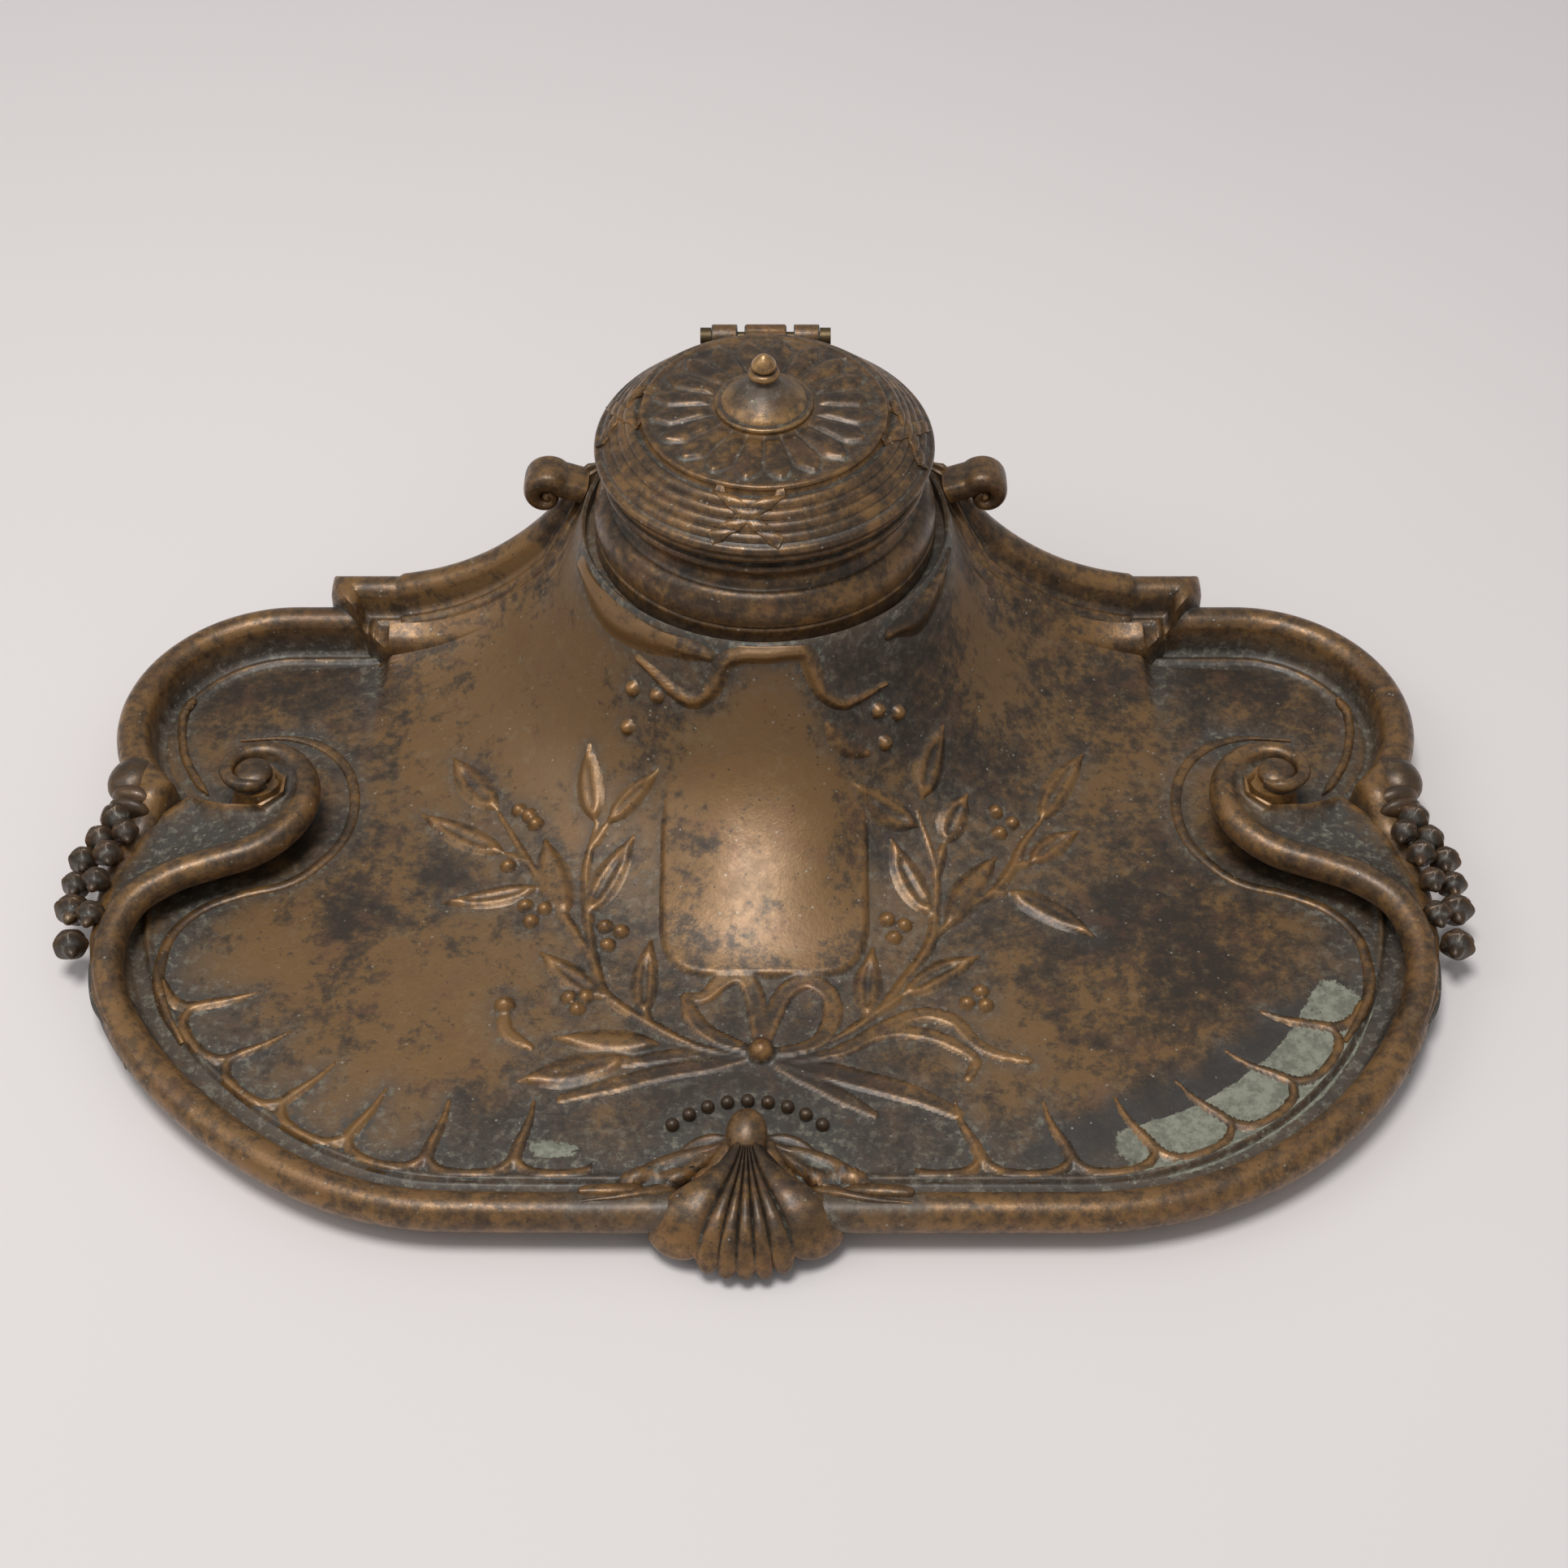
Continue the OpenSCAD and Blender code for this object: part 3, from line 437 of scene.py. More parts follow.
class Pen:
    """Draws a material's nodes."""

    def __init__(self, name: str) -> None:
        """Starts a material with its shader and the object's coordinates."""
        self.material = bpy.data.materials.new(name)
        self.material.use_nodes = True
        self.tree = self.material.node_tree
        self.shader = self.tree.nodes["Principled BSDF"]
        self.place = self.node("ShaderNodeTexCoord").outputs["Object"]

    def node(self, kind: str, **settings: object) -> bpy.types.Node:
        """Adds a node and sets its plain settings."""
        node = self.tree.nodes.new(kind)
        for key, value in settings.items():
            setattr(node, key, value)
        return node

    def link(self, source: bpy.types.NodeSocket, target: bpy.types.NodeSocket) -> None:
        """Joins two sockets."""
        self.tree.links.new(source, target)

    def noise(self, scale: float, detail: float = 5, rough: float = 0.6, shift: float = 0.0,
              warp: float = 0.0) -> bpy.types.NodeSocket:
        """Adds cloudy noise over the object and returns its value."""
        spot = self.node("ShaderNodeMapping")
        spot.inputs["Location"].default_value = (shift, shift * 0.7, shift * 0.4)
        self.link(self.place, spot.inputs["Vector"])
        node = self.node("ShaderNodeTexNoise")
        for key, value in (("Scale", scale), ("Detail", detail), ("Roughness", rough), ("Distortion", warp)):
            node.inputs[key].default_value = value
        self.link(spot.outputs["Vector"], node.inputs["Vector"])
        return node.outputs["Fac"]

    def mark(self, name: str) -> bpy.types.NodeSocket:
        """Returns the number that a piece stores under a name."""
        return self.node("ShaderNodeAttribute", attribute_name=name).outputs["Fac"]

    def maths(self, job: str, a: object, b: object, clamp: bool = False) -> bpy.types.NodeSocket:
        """Adds a sum of two values, each a socket or a number."""
        node = self.node("ShaderNodeMath", operation=job, use_clamp=clamp)
        for socket, value in zip(node.inputs, (a, b)):
            if isinstance(value, (int, float)):
                socket.default_value = value
            else:
                self.link(value, socket)
        return node.outputs[0]

    def times(self, a: object, b: object, clamp: bool = False) -> bpy.types.NodeSocket:
        """Multiplies two values, each a socket or a number."""
        return self.maths("MULTIPLY", a, b, clamp)

    def ramp(self, value: bpy.types.NodeSocket, low: float, high: float, start: float = 0.0,
             end: float = 1.0) -> bpy.types.NodeSocket:
        """Maps a value softly from low and high to start and end."""
        node = self.node("ShaderNodeMapRange", interpolation_type="SMOOTHSTEP")
        for key, number in (("From Min", low), ("From Max", high), ("To Min", start), ("To Max", end)):
            node.inputs[key].default_value = number
        self.link(value, node.inputs["Value"])
        return node.outputs["Result"]

    def blend(self, share: object, a: object, b: object) -> bpy.types.NodeSocket:
        """Mixes two colours, each a socket or a colour."""
        node = self.node("ShaderNodeMix", data_type="RGBA")
        for key, value in ((0, share), (6, a), (7, b)):
            if isinstance(value, (int, float)):
                node.inputs[key].default_value = value
            elif isinstance(value, tuple):
                node.inputs[key].default_value = (*value, 1)
            else:
                self.link(value, node.inputs[key])
        return node.outputs[2]

    def bump(self, height: bpy.types.NodeSocket, strength: float, depth: float) -> None:
        """Drives the shader's normal with a height."""
        node = self.node("ShaderNodeBump")
        node.inputs["Strength"].default_value = strength
        node.inputs["Distance"].default_value = depth
        self.link(height, node.inputs["Height"])
        self.link(node.outputs["Normal"], self.shader.inputs["Normal"])


@dataclass(frozen=True)
class Patina:
    """Brown patina on cast bronze, rubbed on ridges and dusty in hollows, with painted shade near raised
    work, patches of painted highlight and shade, and a painted black shadow beside the scroll rolls.
    """

    name: str
    dark: Colour = (0.036, 0.023, 0.0137)
    umber: Colour = (0.084, 0.049, 0.023)
    warm: Colour = (0.212, 0.112, 0.038)
    rubbed: Colour = (0.315, 0.155, 0.046)
    grime_shade_colour: Colour = (0.058, 0.050, 0.041)
    dust: Colour = (0.262, 0.242, 0.181)
    chalk: Colour = (0.270, 0.272, 0.205)
    chalk_thin: Colour = (0.150, 0.152, 0.112)
    shadow_and_dark_patina: Colour = (0.0070, 0.0056, 0.0044)
    red: Colour = (0.176, 0.078, 0.036)
    straw: Colour = (0.270, 0.190, 0.098)
    dark_patch: Colour = (0.040, 0.034, 0.030)
    pale_fleck: Colour = (0.36, 0.32, 0.25)
    dark_fleck: Colour = (0.022, 0.015, 0.010)
    warmth: float = 0.0
    rub: float = 1.0
    grime_and_shade_strength: float = 1.0
    sheen: float = 0.40
    metal: float = 0.40

    def bronze(self, pen: Pen, cloud: bpy.types.NodeSocket,
               speckle: bpy.types.NodeSocket) -> bpy.types.NodeSocket:
        """Mixes the browns of the clean patina, its patches of tone with painted highlight and shade, and its
        wear on ridges, and returns the colour.
        """
        field = pen.maths("ADD", pen.times(cloud, 0.48), pen.times(speckle, 0.52))
        # Patches of tone: the patina's uneven tone, with painted highlight and painted shade in some of them.
        field = pen.maths("ADD", field, pen.times(pen.mark("tone_and_light"), 0.085))
        field = pen.maths("ADD", field, self.warmth)
        base = pen.blend(pen.ramp(field, 0.40, 0.50), self.dark, self.umber)
        base = pen.blend(pen.ramp(field, 0.475, 0.575), base, self.warm)
        red = pen.ramp(pen.noise(140, 6, 0.66, 0.31), 0.52, 0.66)
        base = pen.blend(pen.times(red, 0.35), base, self.red)
        pale = pen.ramp(pen.noise(210, 8, 0.74, 0.62), 0.56, 0.68)
        base = pen.blend(pen.times(pale, 0.34), base, self.straw)
        worn = pen.times(pen.mark("ridge"), pen.ramp(speckle, 0.34, 0.62, 0.25, 1.1))
        worn = pen.times(pen.times(worn, self.rub, True), 0.85)
        return pen.blend(worn, base, self.rubbed)

    def flecks(self, pen: Pen, base: bpy.types.NodeSocket) -> bpy.types.NodeSocket:
        """Scatters pale and dark flecks over a colour and returns it."""
        for scale, seed, low, colour, cover in ((640, 0.9, 0.565, self.pale_fleck, 0.75),
                                                (760, 1.7, 0.555, self.dark_fleck, 0.8)):
            cells = pen.node("ShaderNodeTexVoronoi")
            cells.inputs["Scale"].default_value = scale
            pen.link(pen.place, cells.inputs["Vector"])
            fleck = pen.times(pen.ramp(cells.outputs["Distance"], 0.20, 0.09),
                              pen.ramp(pen.noise(300, 3, 0.6, seed), low, low + 0.05))
            base = pen.blend(pen.times(fleck, cover), base, colour)
        return base

    def build(self) -> bpy.types.Material:
        """Draws the finish.

        Returns:
            The material, which reads the marks of wear on ridges, grime in hollows, grime with painted shade
            near raised work, tone with painted highlight and shade, the chalky deposit, a darker patch and
            the painted black shadow beside the scroll rolls.
        """
        pen = Pen(self.name)
        cloud, speckle = pen.noise(88, 7, 0.64, 0.03, 0.3), pen.noise(430, 8, 0.72, 0.11)
        base = self.bronze(pen, cloud, speckle)
        # Grime in hollows, and grime with painted shade near raised work and at the collar's foot, turn the
        # colour grey and dusty.
        shade_and_grime = pen.maths("MAXIMUM", pen.mark("hollow"), pen.mark("shade_and_grime"))
        soiled_and_shaded = pen.times(pen.times(shade_and_grime, pen.ramp(speckle, 0.34, 0.58, 0.45, 1.1)), self.grime_and_shade_strength, True)
        base = pen.blend(soiled_and_shaded, base, self.grime_shade_colour)
        powder = pen.times(soiled_and_shaded, pen.ramp(pen.noise(520, 7, 0.74, 0.5), 0.50, 0.62))
        base = pen.blend(pen.times(powder, 0.62), base, self.dust)
        ragged = pen.maths("ADD", pen.mark("chalk"), pen.times(pen.noise(230, 8, 0.78, 0.7), 0.55))
        chalk = pen.ramp(ragged, 0.87, 0.905)
        # A darker patch with a straight edge behind the deposit.
        base = pen.blend(pen.times(pen.mark("dark_patch"), 0.85), base, self.dark_patch)
        chalky = pen.blend(pen.ramp(speckle, 0.4, 0.6), self.chalk, self.chalk_thin)
        base = pen.blend(chalk, base, chalky)
        # Painted black shadow under the overhanging scroll rolls, with their dark patina.
        base = pen.blend(pen.mark("shadow_and_dark_patina"), base, self.shadow_and_dark_patina)
        pen.link(self.flecks(pen, base), pen.shader.inputs["Base Color"])
        cover = pen.maths("MAXIMUM", chalk, pen.times(soiled_and_shaded, 0.7))
        cover = pen.maths("MAXIMUM", cover, pen.mark("shadow_and_dark_patina"))
        metal = pen.maths("SUBTRACT", self.metal, pen.times(cover, 0.38), True)
        pen.link(metal, pen.shader.inputs["Metallic"])
        rough = pen.maths("ADD", self.sheen, pen.times(cover, 0.35))
        rough = pen.maths("ADD", rough, pen.ramp(speckle, 0.35, 0.65, 0.08, -0.06))
        pen.link(rough, pen.shader.inputs["Roughness"])
        pen.shader.inputs["Coat Weight"].default_value = 0.32
        pen.shader.inputs["Coat Roughness"].default_value = 0.34
        grain = pen.maths("ADD", pen.times(speckle, 0.6), pen.times(pen.noise(1500, 4, 0.65, 0.2), 0.4))
        pen.bump(grain, 0.32, 0.0004)
        return pen.material


@dataclass(frozen=True)
class TurnedBrass:
    """Plain turned brass that has gone dull, for hidden fittings and the hinge pin."""

    name: str
    colour: Colour = (0.20, 0.14, 0.07)

    def build(self) -> bpy.types.Material:
        """Draws the finish and returns the material."""
        pen = Pen(self.name)
        cloud = pen.noise(120, 5, 0.6)
        base = pen.blend(pen.ramp(cloud, 0.35, 0.65), tuple(v * 0.5 for v in self.colour), self.colour)
        pen.link(base, pen.shader.inputs["Base Color"])
        pen.shader.inputs["Metallic"].default_value = 0.8
        pen.link(pen.ramp(cloud, 0.3, 0.7, 0.5, 0.36), pen.shader.inputs["Roughness"])
        pen.bump(pen.noise(1200, 3), 0.2, 0.0002)
        return pen.material


@dataclass(frozen=True)
class Glaze:
    """White glaze of the ink pot, faintly stained inside."""

    name: str
    colour: Colour = (0.80, 0.77, 0.70)
    ink: Colour = (0.30, 0.29, 0.33)

    def build(self) -> bpy.types.Material:
        """Draws the finish and returns the material."""
        pen = Pen(self.name)
        dark_patch = pen.ramp(pen.noise(70, 6, 0.65), 0.5, 0.75)
        pen.link(pen.blend(pen.times(dark_patch, 0.5), self.colour, self.ink), pen.shader.inputs["Base Color"])
        pen.shader.inputs["Roughness"].default_value = 0.14
        pen.shader.inputs["Coat Weight"].default_value = 0.4
        pen.bump(pen.noise(60, 2), 0.06, 0.0006)
        return pen.material


def dress(piece: bpy.types.Object, material: bpy.types.Material, body: Body, slot: str, *nodes: str) -> None:
    """Gives a finished piece its material and its body, and hides the imported nodes that it stands for."""
    piece.data.materials.clear()
    piece.data.materials.append(material)
    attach(piece, body.value)
    if nodes:
        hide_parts(*nodes)
    LOG.info("%s: %d faces", piece.name, len(piece.data.polygons))


# ---- The dish


@dataclass(frozen=True)
class Edge:
    """A point of the dish's outline.

    Its place, the way inwards, the height of its crest, whether it is on the back wall, and how far it
    counts as part of the front, where the fillet lies further in.
    """

    at: Point2
    inset: Point2
    crest: float
    back: bool
    front: float = 0.0

    def inside(self, d: float) -> Point2:
        """Returns the plan point at a distance d inside the outline."""
        return self.at[0] + self.inset[0] * d, self.at[1] + self.inset[1] * d


@dataclass(frozen=True)
class DishForm:
    """Sizes and surfaces of the casting."""

    corner_r: float = 71.0
    corner_x: float = 52.0
    corner_y: float = 62.0
    lobe_r: float = 31.0
    lobe_x: float = 95.5
    lobe_y: float = 19.5
    step_x: float = 89.0
    back_y: float = 16.5
    drum_r: float = 37.0
    floor_z: float = 3.4
    front_crest: float = 10.0
    side_crest: float = 12.0
    rail_crest: float = 16.0
    rail_sweep: float = 2.8
    rail_drop: float = 6.0
    lip_z: float = 44.0
    lip_r: float = 35.0
    bell_len: float = 11.7
    wall: float = 3.4
    roll_w: float = 6.6
    roll_h: float = 3.4
    rim_lift: float = 5.0
    foot_in: float = 8.0
    fillet_in: float = 9.3
    fillet_h: float = 0.62
    field_in: float = 12.0
    scroll_dip: float = 3.6
    ledge_r: float = 29.0
    ledge_z: float = 41.0
    settle: float = 9.0
    ramp_front: float = -40.0
    ramp_fall: float = 7.5
    front_shift: float = 2.2

    def cusp(self) -> tuple[Point2, float, float]:
        """Returns the place where corner and lobe meet, and its angle about each centre."""
        dx, dy = self.lobe_x - self.corner_x, self.corner_y - self.lobe_y
        gap = math.hypot(dx, dy)
        along = (self.corner_r ** 2 - self.lobe_r ** 2 + gap * gap) / (2 * gap)
        across = math.sqrt(self.corner_r ** 2 - along * along)
        x = self.corner_x + (dx * along + dy * across) / gap
        y = -self.corner_y + (dy * along - dx * across) / gap
        return ((x, y), math.degrees(math.atan2(y + self.corner_y, x - self.corner_x)),
                math.degrees(math.atan2(y + self.lobe_y, x - self.lobe_x)))

    def rail_top(self, x: float) -> float:
        """Returns the height of the back wall's crest."""
        u = limit((x - self.lip_r) / (self.step_x - self.lip_r))
        return mix(self.rail_crest, self.lip_z, (1 - u) ** self.rail_sweep)

    def side_top(self, a: float) -> float:
        """Returns the height of the rim at an angle about the front corner."""
        return mix(self.front_crest, self.side_crest, ((a + 90) / (self.cusp()[1] + 90)) ** 3)

    def corner_edge(self, end: float) -> list[Edge]:
        """Returns the front edge and the round front corner, up to an angle where the lobe begins."""
        front = -self.corner_y - self.corner_r
        out = [Edge((self.corner_x * i / 44, front), (0, 1), self.front_crest, False, 1.0) for i in range(44)]
        for i in range(120):
            a = mix(-90, end, i / 120)
            p = polar(self.corner_r, a)
            crest = self.side_top(a) - self.scroll_dip * ease((a + 30) / 10) * ease((end - a) / 7)
            spot = (self.corner_x + p[0], p[1] - self.corner_y)
            out.append(Edge(spot, polar(-1, a), crest, False, 1.0 - ease((a + 30) / 40)))
        return out

    def lobe_edge(self, start: float) -> list[Edge]:
        """Returns the lobe from an angle round to the step in the back wall."""
        out = []
        for i in range(1, 91):
            a = mix(start, 90, i / 90)
            p = polar(self.lobe_r, a)
            out.append(Edge((self.lobe_x + p[0], p[1] - self.lobe_y), polar(-1, a), self.side_crest, False))
        top = self.lobe_r - self.lobe_y
        for i in range(1, 11):
            t = i / 10
            out.append(Edge((mix(self.lobe_x, self.step_x, t), top), (-t, -1), self.side_crest, False))
        return out

    def back_edge(self) -> list[Edge]:
        """Returns the step, the back wall and the round drum behind the well."""
        top, high = self.lobe_r - self.lobe_y, self.rail_crest
        rise = ((top + 0.35, high - 2.6), (top + 0.8, high - 0.6), (mix(top, self.back_y, 0.5), high),
                (self.back_y, high))
        out = [Edge((self.step_x, y), (-1, -1), crest, True) for y, crest in rise]
        end = self.step_x - self.field_in - 3
        for i in range(1, 13):
            t = i / 13
            out.append(Edge((mix(self.step_x, end, t), self.back_y), (t - 1, -1), high, True))
        drum_a = math.degrees(math.asin(self.back_y / self.drum_r))
        drum_x = self.drum_r * math.cos(math.radians(drum_a))
        for i in range(60):
            x = mix(end, drum_x + 1, (i / 59) ** 0.9)
            out.append(Edge((x, self.back_y), (0, -1), self.rail_top(x), True))
        for i in range(40):
            a = mix(drum_a, 90, i / 40)
            out.append(Edge(polar(self.drum_r, a), polar(-1, a), self.lip_z, True))
        return out

    def half_edge(self) -> list[Edge]:
        """Returns the right half of the outline, from the front middle to the back middle."""
        cusp, a1, a2 = self.cusp()
        n1, n2 = np.array(polar(-1, a1)), np.array(polar(-1, a2))
        middle = (n1 + n2) / (1 + n1 @ n2)
        mitre = []
        for t in range(-5, 6):
            n = middle + ((n1 if t < 0 else n2) - middle) * abs(t) / 5
            mitre.append(Edge(cusp, (n[0], n[1]), self.side_crest, False))
        return self.corner_edge(a1) + mitre + self.lobe_edge(a2) + self.back_edge()

    def drawn_in(self, x: float, y: float) -> Point2:
        """Moves a plan point of the left half as the casting's left front corner is drawn in."""
        dx, dy = max(0.0, -x - self.corner_x), y + self.corner_y
        r = max(1.0, math.hypot(dx, dy))
        a = math.degrees(math.atan2(dy, dx)) - 0.8 * max(0.0, self.corner_x + x)
        pull = 2.8 * math.exp(-((a + 52) / 25) ** 2) * limit(1 - (self.corner_r - r) / 60) * limit(-x / 10)
        return x + dx / r * pull, y - dy / r * pull

    def edges(self) -> list[Edge]:
        """Returns the whole outline."""
        half = self.half_edge()
        left = [Edge(self.drawn_in(-e.at[0], e.at[1]), (-e.inset[0], e.inset[1]), e.crest, e.back, e.front)
                for e in half[:0:-1]]
        return half + [Edge((0, self.drum_r), (0, -1), self.lip_z, True)] + left

    def depth(self, x: np.ndarray, y: np.ndarray) -> np.ndarray:
        """Returns how far plan points lie inside the front edge and the round front corners."""
        corner = self.corner_r - np.hypot(np.maximum(np.abs(x) - self.corner_x, 0), y + self.corner_y)
        return np.where(np.abs(x) > self.corner_x, corner, y + self.corner_y + self.corner_r)

    def room(self, x: float, y: float) -> float:
        """Returns the share of the rim's full section that the mound leaves free at a plan point."""
        return limit((math.hypot(x, y) - self.lip_r - 0.4) / self.field_in, 0.1, 1)

    def bell(self, out: float) -> float:
        """Returns the height of the mound above the floor at a distance outside its lip."""
        return (self.lip_z - self.floor_z) * math.exp(-max(0.0, out) / self.bell_len)

    def field(self, x: float, y: float) -> float:
        """Returns the height of the open floor, the mound and the swelling under the medallion."""
        bell = self.bell(math.hypot(x, y) - self.lip_r)
        swell = 3.9 * math.exp(-((x / 17.5) ** 2 + ((y + 55) / 19.0) ** 2) ** 1.35)
        return self.floor_z + bell + swell

    def ramp(self, x: float, y: float) -> float:
        """Returns how far the surface in front of the back wall's inner line stands above the field."""
        if y <= self.ramp_front:
            return 0.0
        x = abs(x)
        end = self.step_x - self.field_in
        near = min(x, end)
        line = self.back_y - self.field_in * self.room(near, self.back_y)
        top = self.rail_top(near) - self.rail_drop - 0.1 - self.field(near, line)
        fall = math.exp(-max(0.0, line - y) / self.ramp_fall)
        return max(0.0, top) * fall * ease((end + 1.2 - x) / 2.4) * ease((x - self.lip_r) / 4)

    def hollow(self, x: float, y: float) -> float:
        """Returns the height of the underside."""
        r = math.hypot(x, y) + self.wall * 0.65 - self.lip_r
        return self.floor_z + self.bell(r) - self.wall - 1

    def rim_part(self, e: Edge) -> list[Point3]:
        """Returns the section of the rim: its lower edge, the roll, the groove inside it and the fillet."""
        room, line, shift = self.room(*e.at), self.rim_line(e), self.front_shift * e.front

        def rim(d: float, z: float) -> Point3:
            """Returns a point of the rim's section, narrowed where the mound crowds it."""
            p = e.inside(d * room)
            return p[0], p[1], mix(e.crest, z, room)

        out = [(*e.inside(0.35), 0.8 if e.back else self.rim_lift)]
        for k in range(15):
            t = math.radians(mix(-8, 158, k / 14))
            out.append(rim(self.roll_w / 2 * (1 - math.cos(t)), e.crest - self.roll_h * (1 - math.sin(t))))
        behind = 1.0 if e.back else max(ease((e.at[1] + 17) / 8), ease((-56 - e.at[1]) / 10))
        fade = self.fillet_h * behind
        inner = self.fillet_in + shift
        for d, z in ((self.roll_w + 0.15, 0.9), (self.roll_w + 0.5, 0.25), (self.roll_w + 1.1, -0.15),
                     (inner - 1.3, -0.3), (inner - 0.8, -0.1), (inner - 0.45, fade * 0.75), (inner, fade),
                     (inner + 0.45, fade * 0.75), (inner + 0.8, 0.05), (inner + 1.5, -0.1)):
            out.append(rim(d, line + z))
        return out

    def rim_line(self, e: Edge) -> float:
        """Returns the height at which the rim's section meets the inner surface."""
        return e.crest - self.rail_drop if e.back else self.floor_z + 0.4

    def column(self, e: Edge) -> list[Point3]:
        """Returns one section of the casting's skin, from the rim's lower edge inwards and back below."""
        room, line = self.room(*e.at), self.rim_line(e)
        out = self.rim_part(e)
        start = e.inside((self.field_in + self.front_shift * e.front) * room)
        a = math.degrees(math.atan2(start[1] + 6, start[0]))
        end = polar(self.lip_r, a)
        rail = e.back and abs(e.at[0]) > self.drum_r
        gap = mix(e.crest, line - 0.1, room) - self.field(*start) - (self.ramp(*start) if rail else 0)
        for i in range(58):
            t = 1 - (1 - i / 58) ** 1.25
            x, y = mix(start[0], end[0], t), mix(start[1], end[1], t)
            z = self.field(x, y) + gap * math.exp(-math.dist((x, y), start) / self.settle) * (1 - t)
            out.append((x, y, z + self.ramp(x, y) * ease((1 - t) * 6)))
        below = self.ledge_z - 3
        for r, z in ((self.lip_r, self.lip_z - 0.25), (self.lip_r - 0.3, self.lip_z),
                     (self.lip_r - 0.8, self.lip_z - 0.4), (self.lip_r - 0.8, self.ledge_z),
                     (self.ledge_r, self.ledge_z), (self.ledge_r, below)):
            out.append((*polar(r, a), z))
        flat = 2.8 if e.back else self.foot_in + 6
        q = e.inside(flat + 0.3)
        under = polar(self.lip_r - 1.8, a)
        gap = line - self.wall - 1 - self.hollow(*q)
        for t in (1, 0.9, 0.76, 0.6, 0.4, 0.2, 0):
            x, y = mix(q[0], under[0], t), mix(q[1], under[1], t)
            z = self.hollow(x, y) + gap * math.exp(-math.dist((x, y), q) / self.settle) * (1 - t)
            out.append((x, y, below if t == 1 else limit(z, 0, below)))
        return out + [(*e.inside(d), 0) for d in (flat, 0.6 if e.back else self.foot_in)]


# Patches of tone on the open floor: plan point, reach and warmth. Most are the patina's
# own uneven tone; the broad warm patch at (-44, -20) is a painted highlight on the left flank
# of the mound, and the small dark patches at (-8, -34) and (12, -33) are painted shade under the collar.
TONE_AND_LIGHT_PATCHES = (
    (-62, -86, 30, 1.0), (-44, -20, 24, 1.6), (0, -66, 17, 1.3), (0, -44, 12, 1.1), (-26, -38, 9, 0.7),
    (38, -14, 10, 0.6), (-8, -34, 6, -0.9), (12, -33, 7, -0.7), (-34, 2, 10, -0.6), (-88, -2, 14, -0.9),
    (88, 0, 14, -1.0), (34, -92, 16, 0.8), (55, -52, 12, 0.9), (70, -30, 16, 0.4), (-30, -44, 8, 0.5),
    (-92, -70, 14, 0.6), (62, -88, 14, 0.5), (-75, -112, 12, 0.3), (0, -38, 10, 0.5), (-70, -40, 9, 0.4),
    (45, -18, 9, 0.5), (-48, -8, 9, 0.4), (-76, -66, 7, -1.6), (-60, -58, 6, -1.2), (62, -66, 13, -1.4),
    (80, -82, 10, -1.0), (-88, -96, 8, -0.6), (0, -104, 22, -1.3), (34, -42, 8, -0.8), (48, -34, 9, -0.9),
    (-22, -38, 7, -0.8), (24, -24, 12, -1.0), (92, -52, 10, -0.5), (-90, -44, 9, -0.9), (-44, -112, 14, -0.8),
    (20, -112, 12, -0.5),
)


@dataclass(frozen=True)
class Tide:
    """The chalky deposit along the front of the dish, and the straight edge of the darker patch behind it."""

    line_a: Point2 = (47.0, -113.0)
    line_b: Point2 = (98.5, -81.0)
    middle_a: float = -51.0
    half_a: float = 38.0
    nearest: float = 8.6
    farthest: float = 24.2
    spot: Point2 = (-35.0, -115.5)
    cover: float = 0.74

    def chalk(self, x: np.ndarray, y: np.ndarray, form: DishForm) -> np.ndarray:
        """Returns the mark of the deposit at plan points: a band on the right and a spot on the left."""
        depth = form.depth(x, y)
        angle = np.degrees(np.arctan2(y + form.corner_y, x - form.corner_x))
        right = (1 - unit(np.abs(angle - self.middle_a) / self.half_a) ** 8) * (x > form.corner_x - 3)
        right = right * unit((depth - self.nearest) / 0.7) * unit((self.farthest - depth) / 3.2)
        right = right * (1 - 0.9 * np.exp(-((depth - 10.9) / 0.42) ** 2))
        left = np.exp(-(((x - self.spot[0]) / 6.5) ** 4 + ((y - self.spot[1]) / 3.2) ** 4)) * 0.93
        return np.maximum(right, left) * self.cover

    def dark_patch(self, x: np.ndarray, y: np.ndarray, form: DishForm) -> np.ndarray:
        """Returns the mark of the darker patch between the deposit and the open floor."""
        (ax, ay), (bx, by) = self.line_a, self.line_b
        length = math.hypot(bx - ax, by - ay)
        out = ((x - ax) * (by - ay) - (y - ay) * (bx - ax)) / length
        depth = form.depth(x, y)
        return unit((out + 0.6) / 1.4) * unit((depth - 14) / 3) * unit((30 - depth) / 4) * (x > ax - 3)


def tone_and_light_at(x: np.ndarray, y: np.ndarray) -> np.ndarray:
    """Returns the warmth of the floor at plan points, from the patches of patina tone, painted highlight and
    painted shade.
    """
    tone_and_light = np.zeros(np.shape(x))
    for px, py, reach, warmth in TONE_AND_LIGHT_PATCHES:
        tone_and_light = tone_and_light + warmth * np.exp(-(((x - px) ** 2 + (y - py) ** 2) / reach ** 2))
    return np.clip(tone_and_light, -1.6, 1.6)


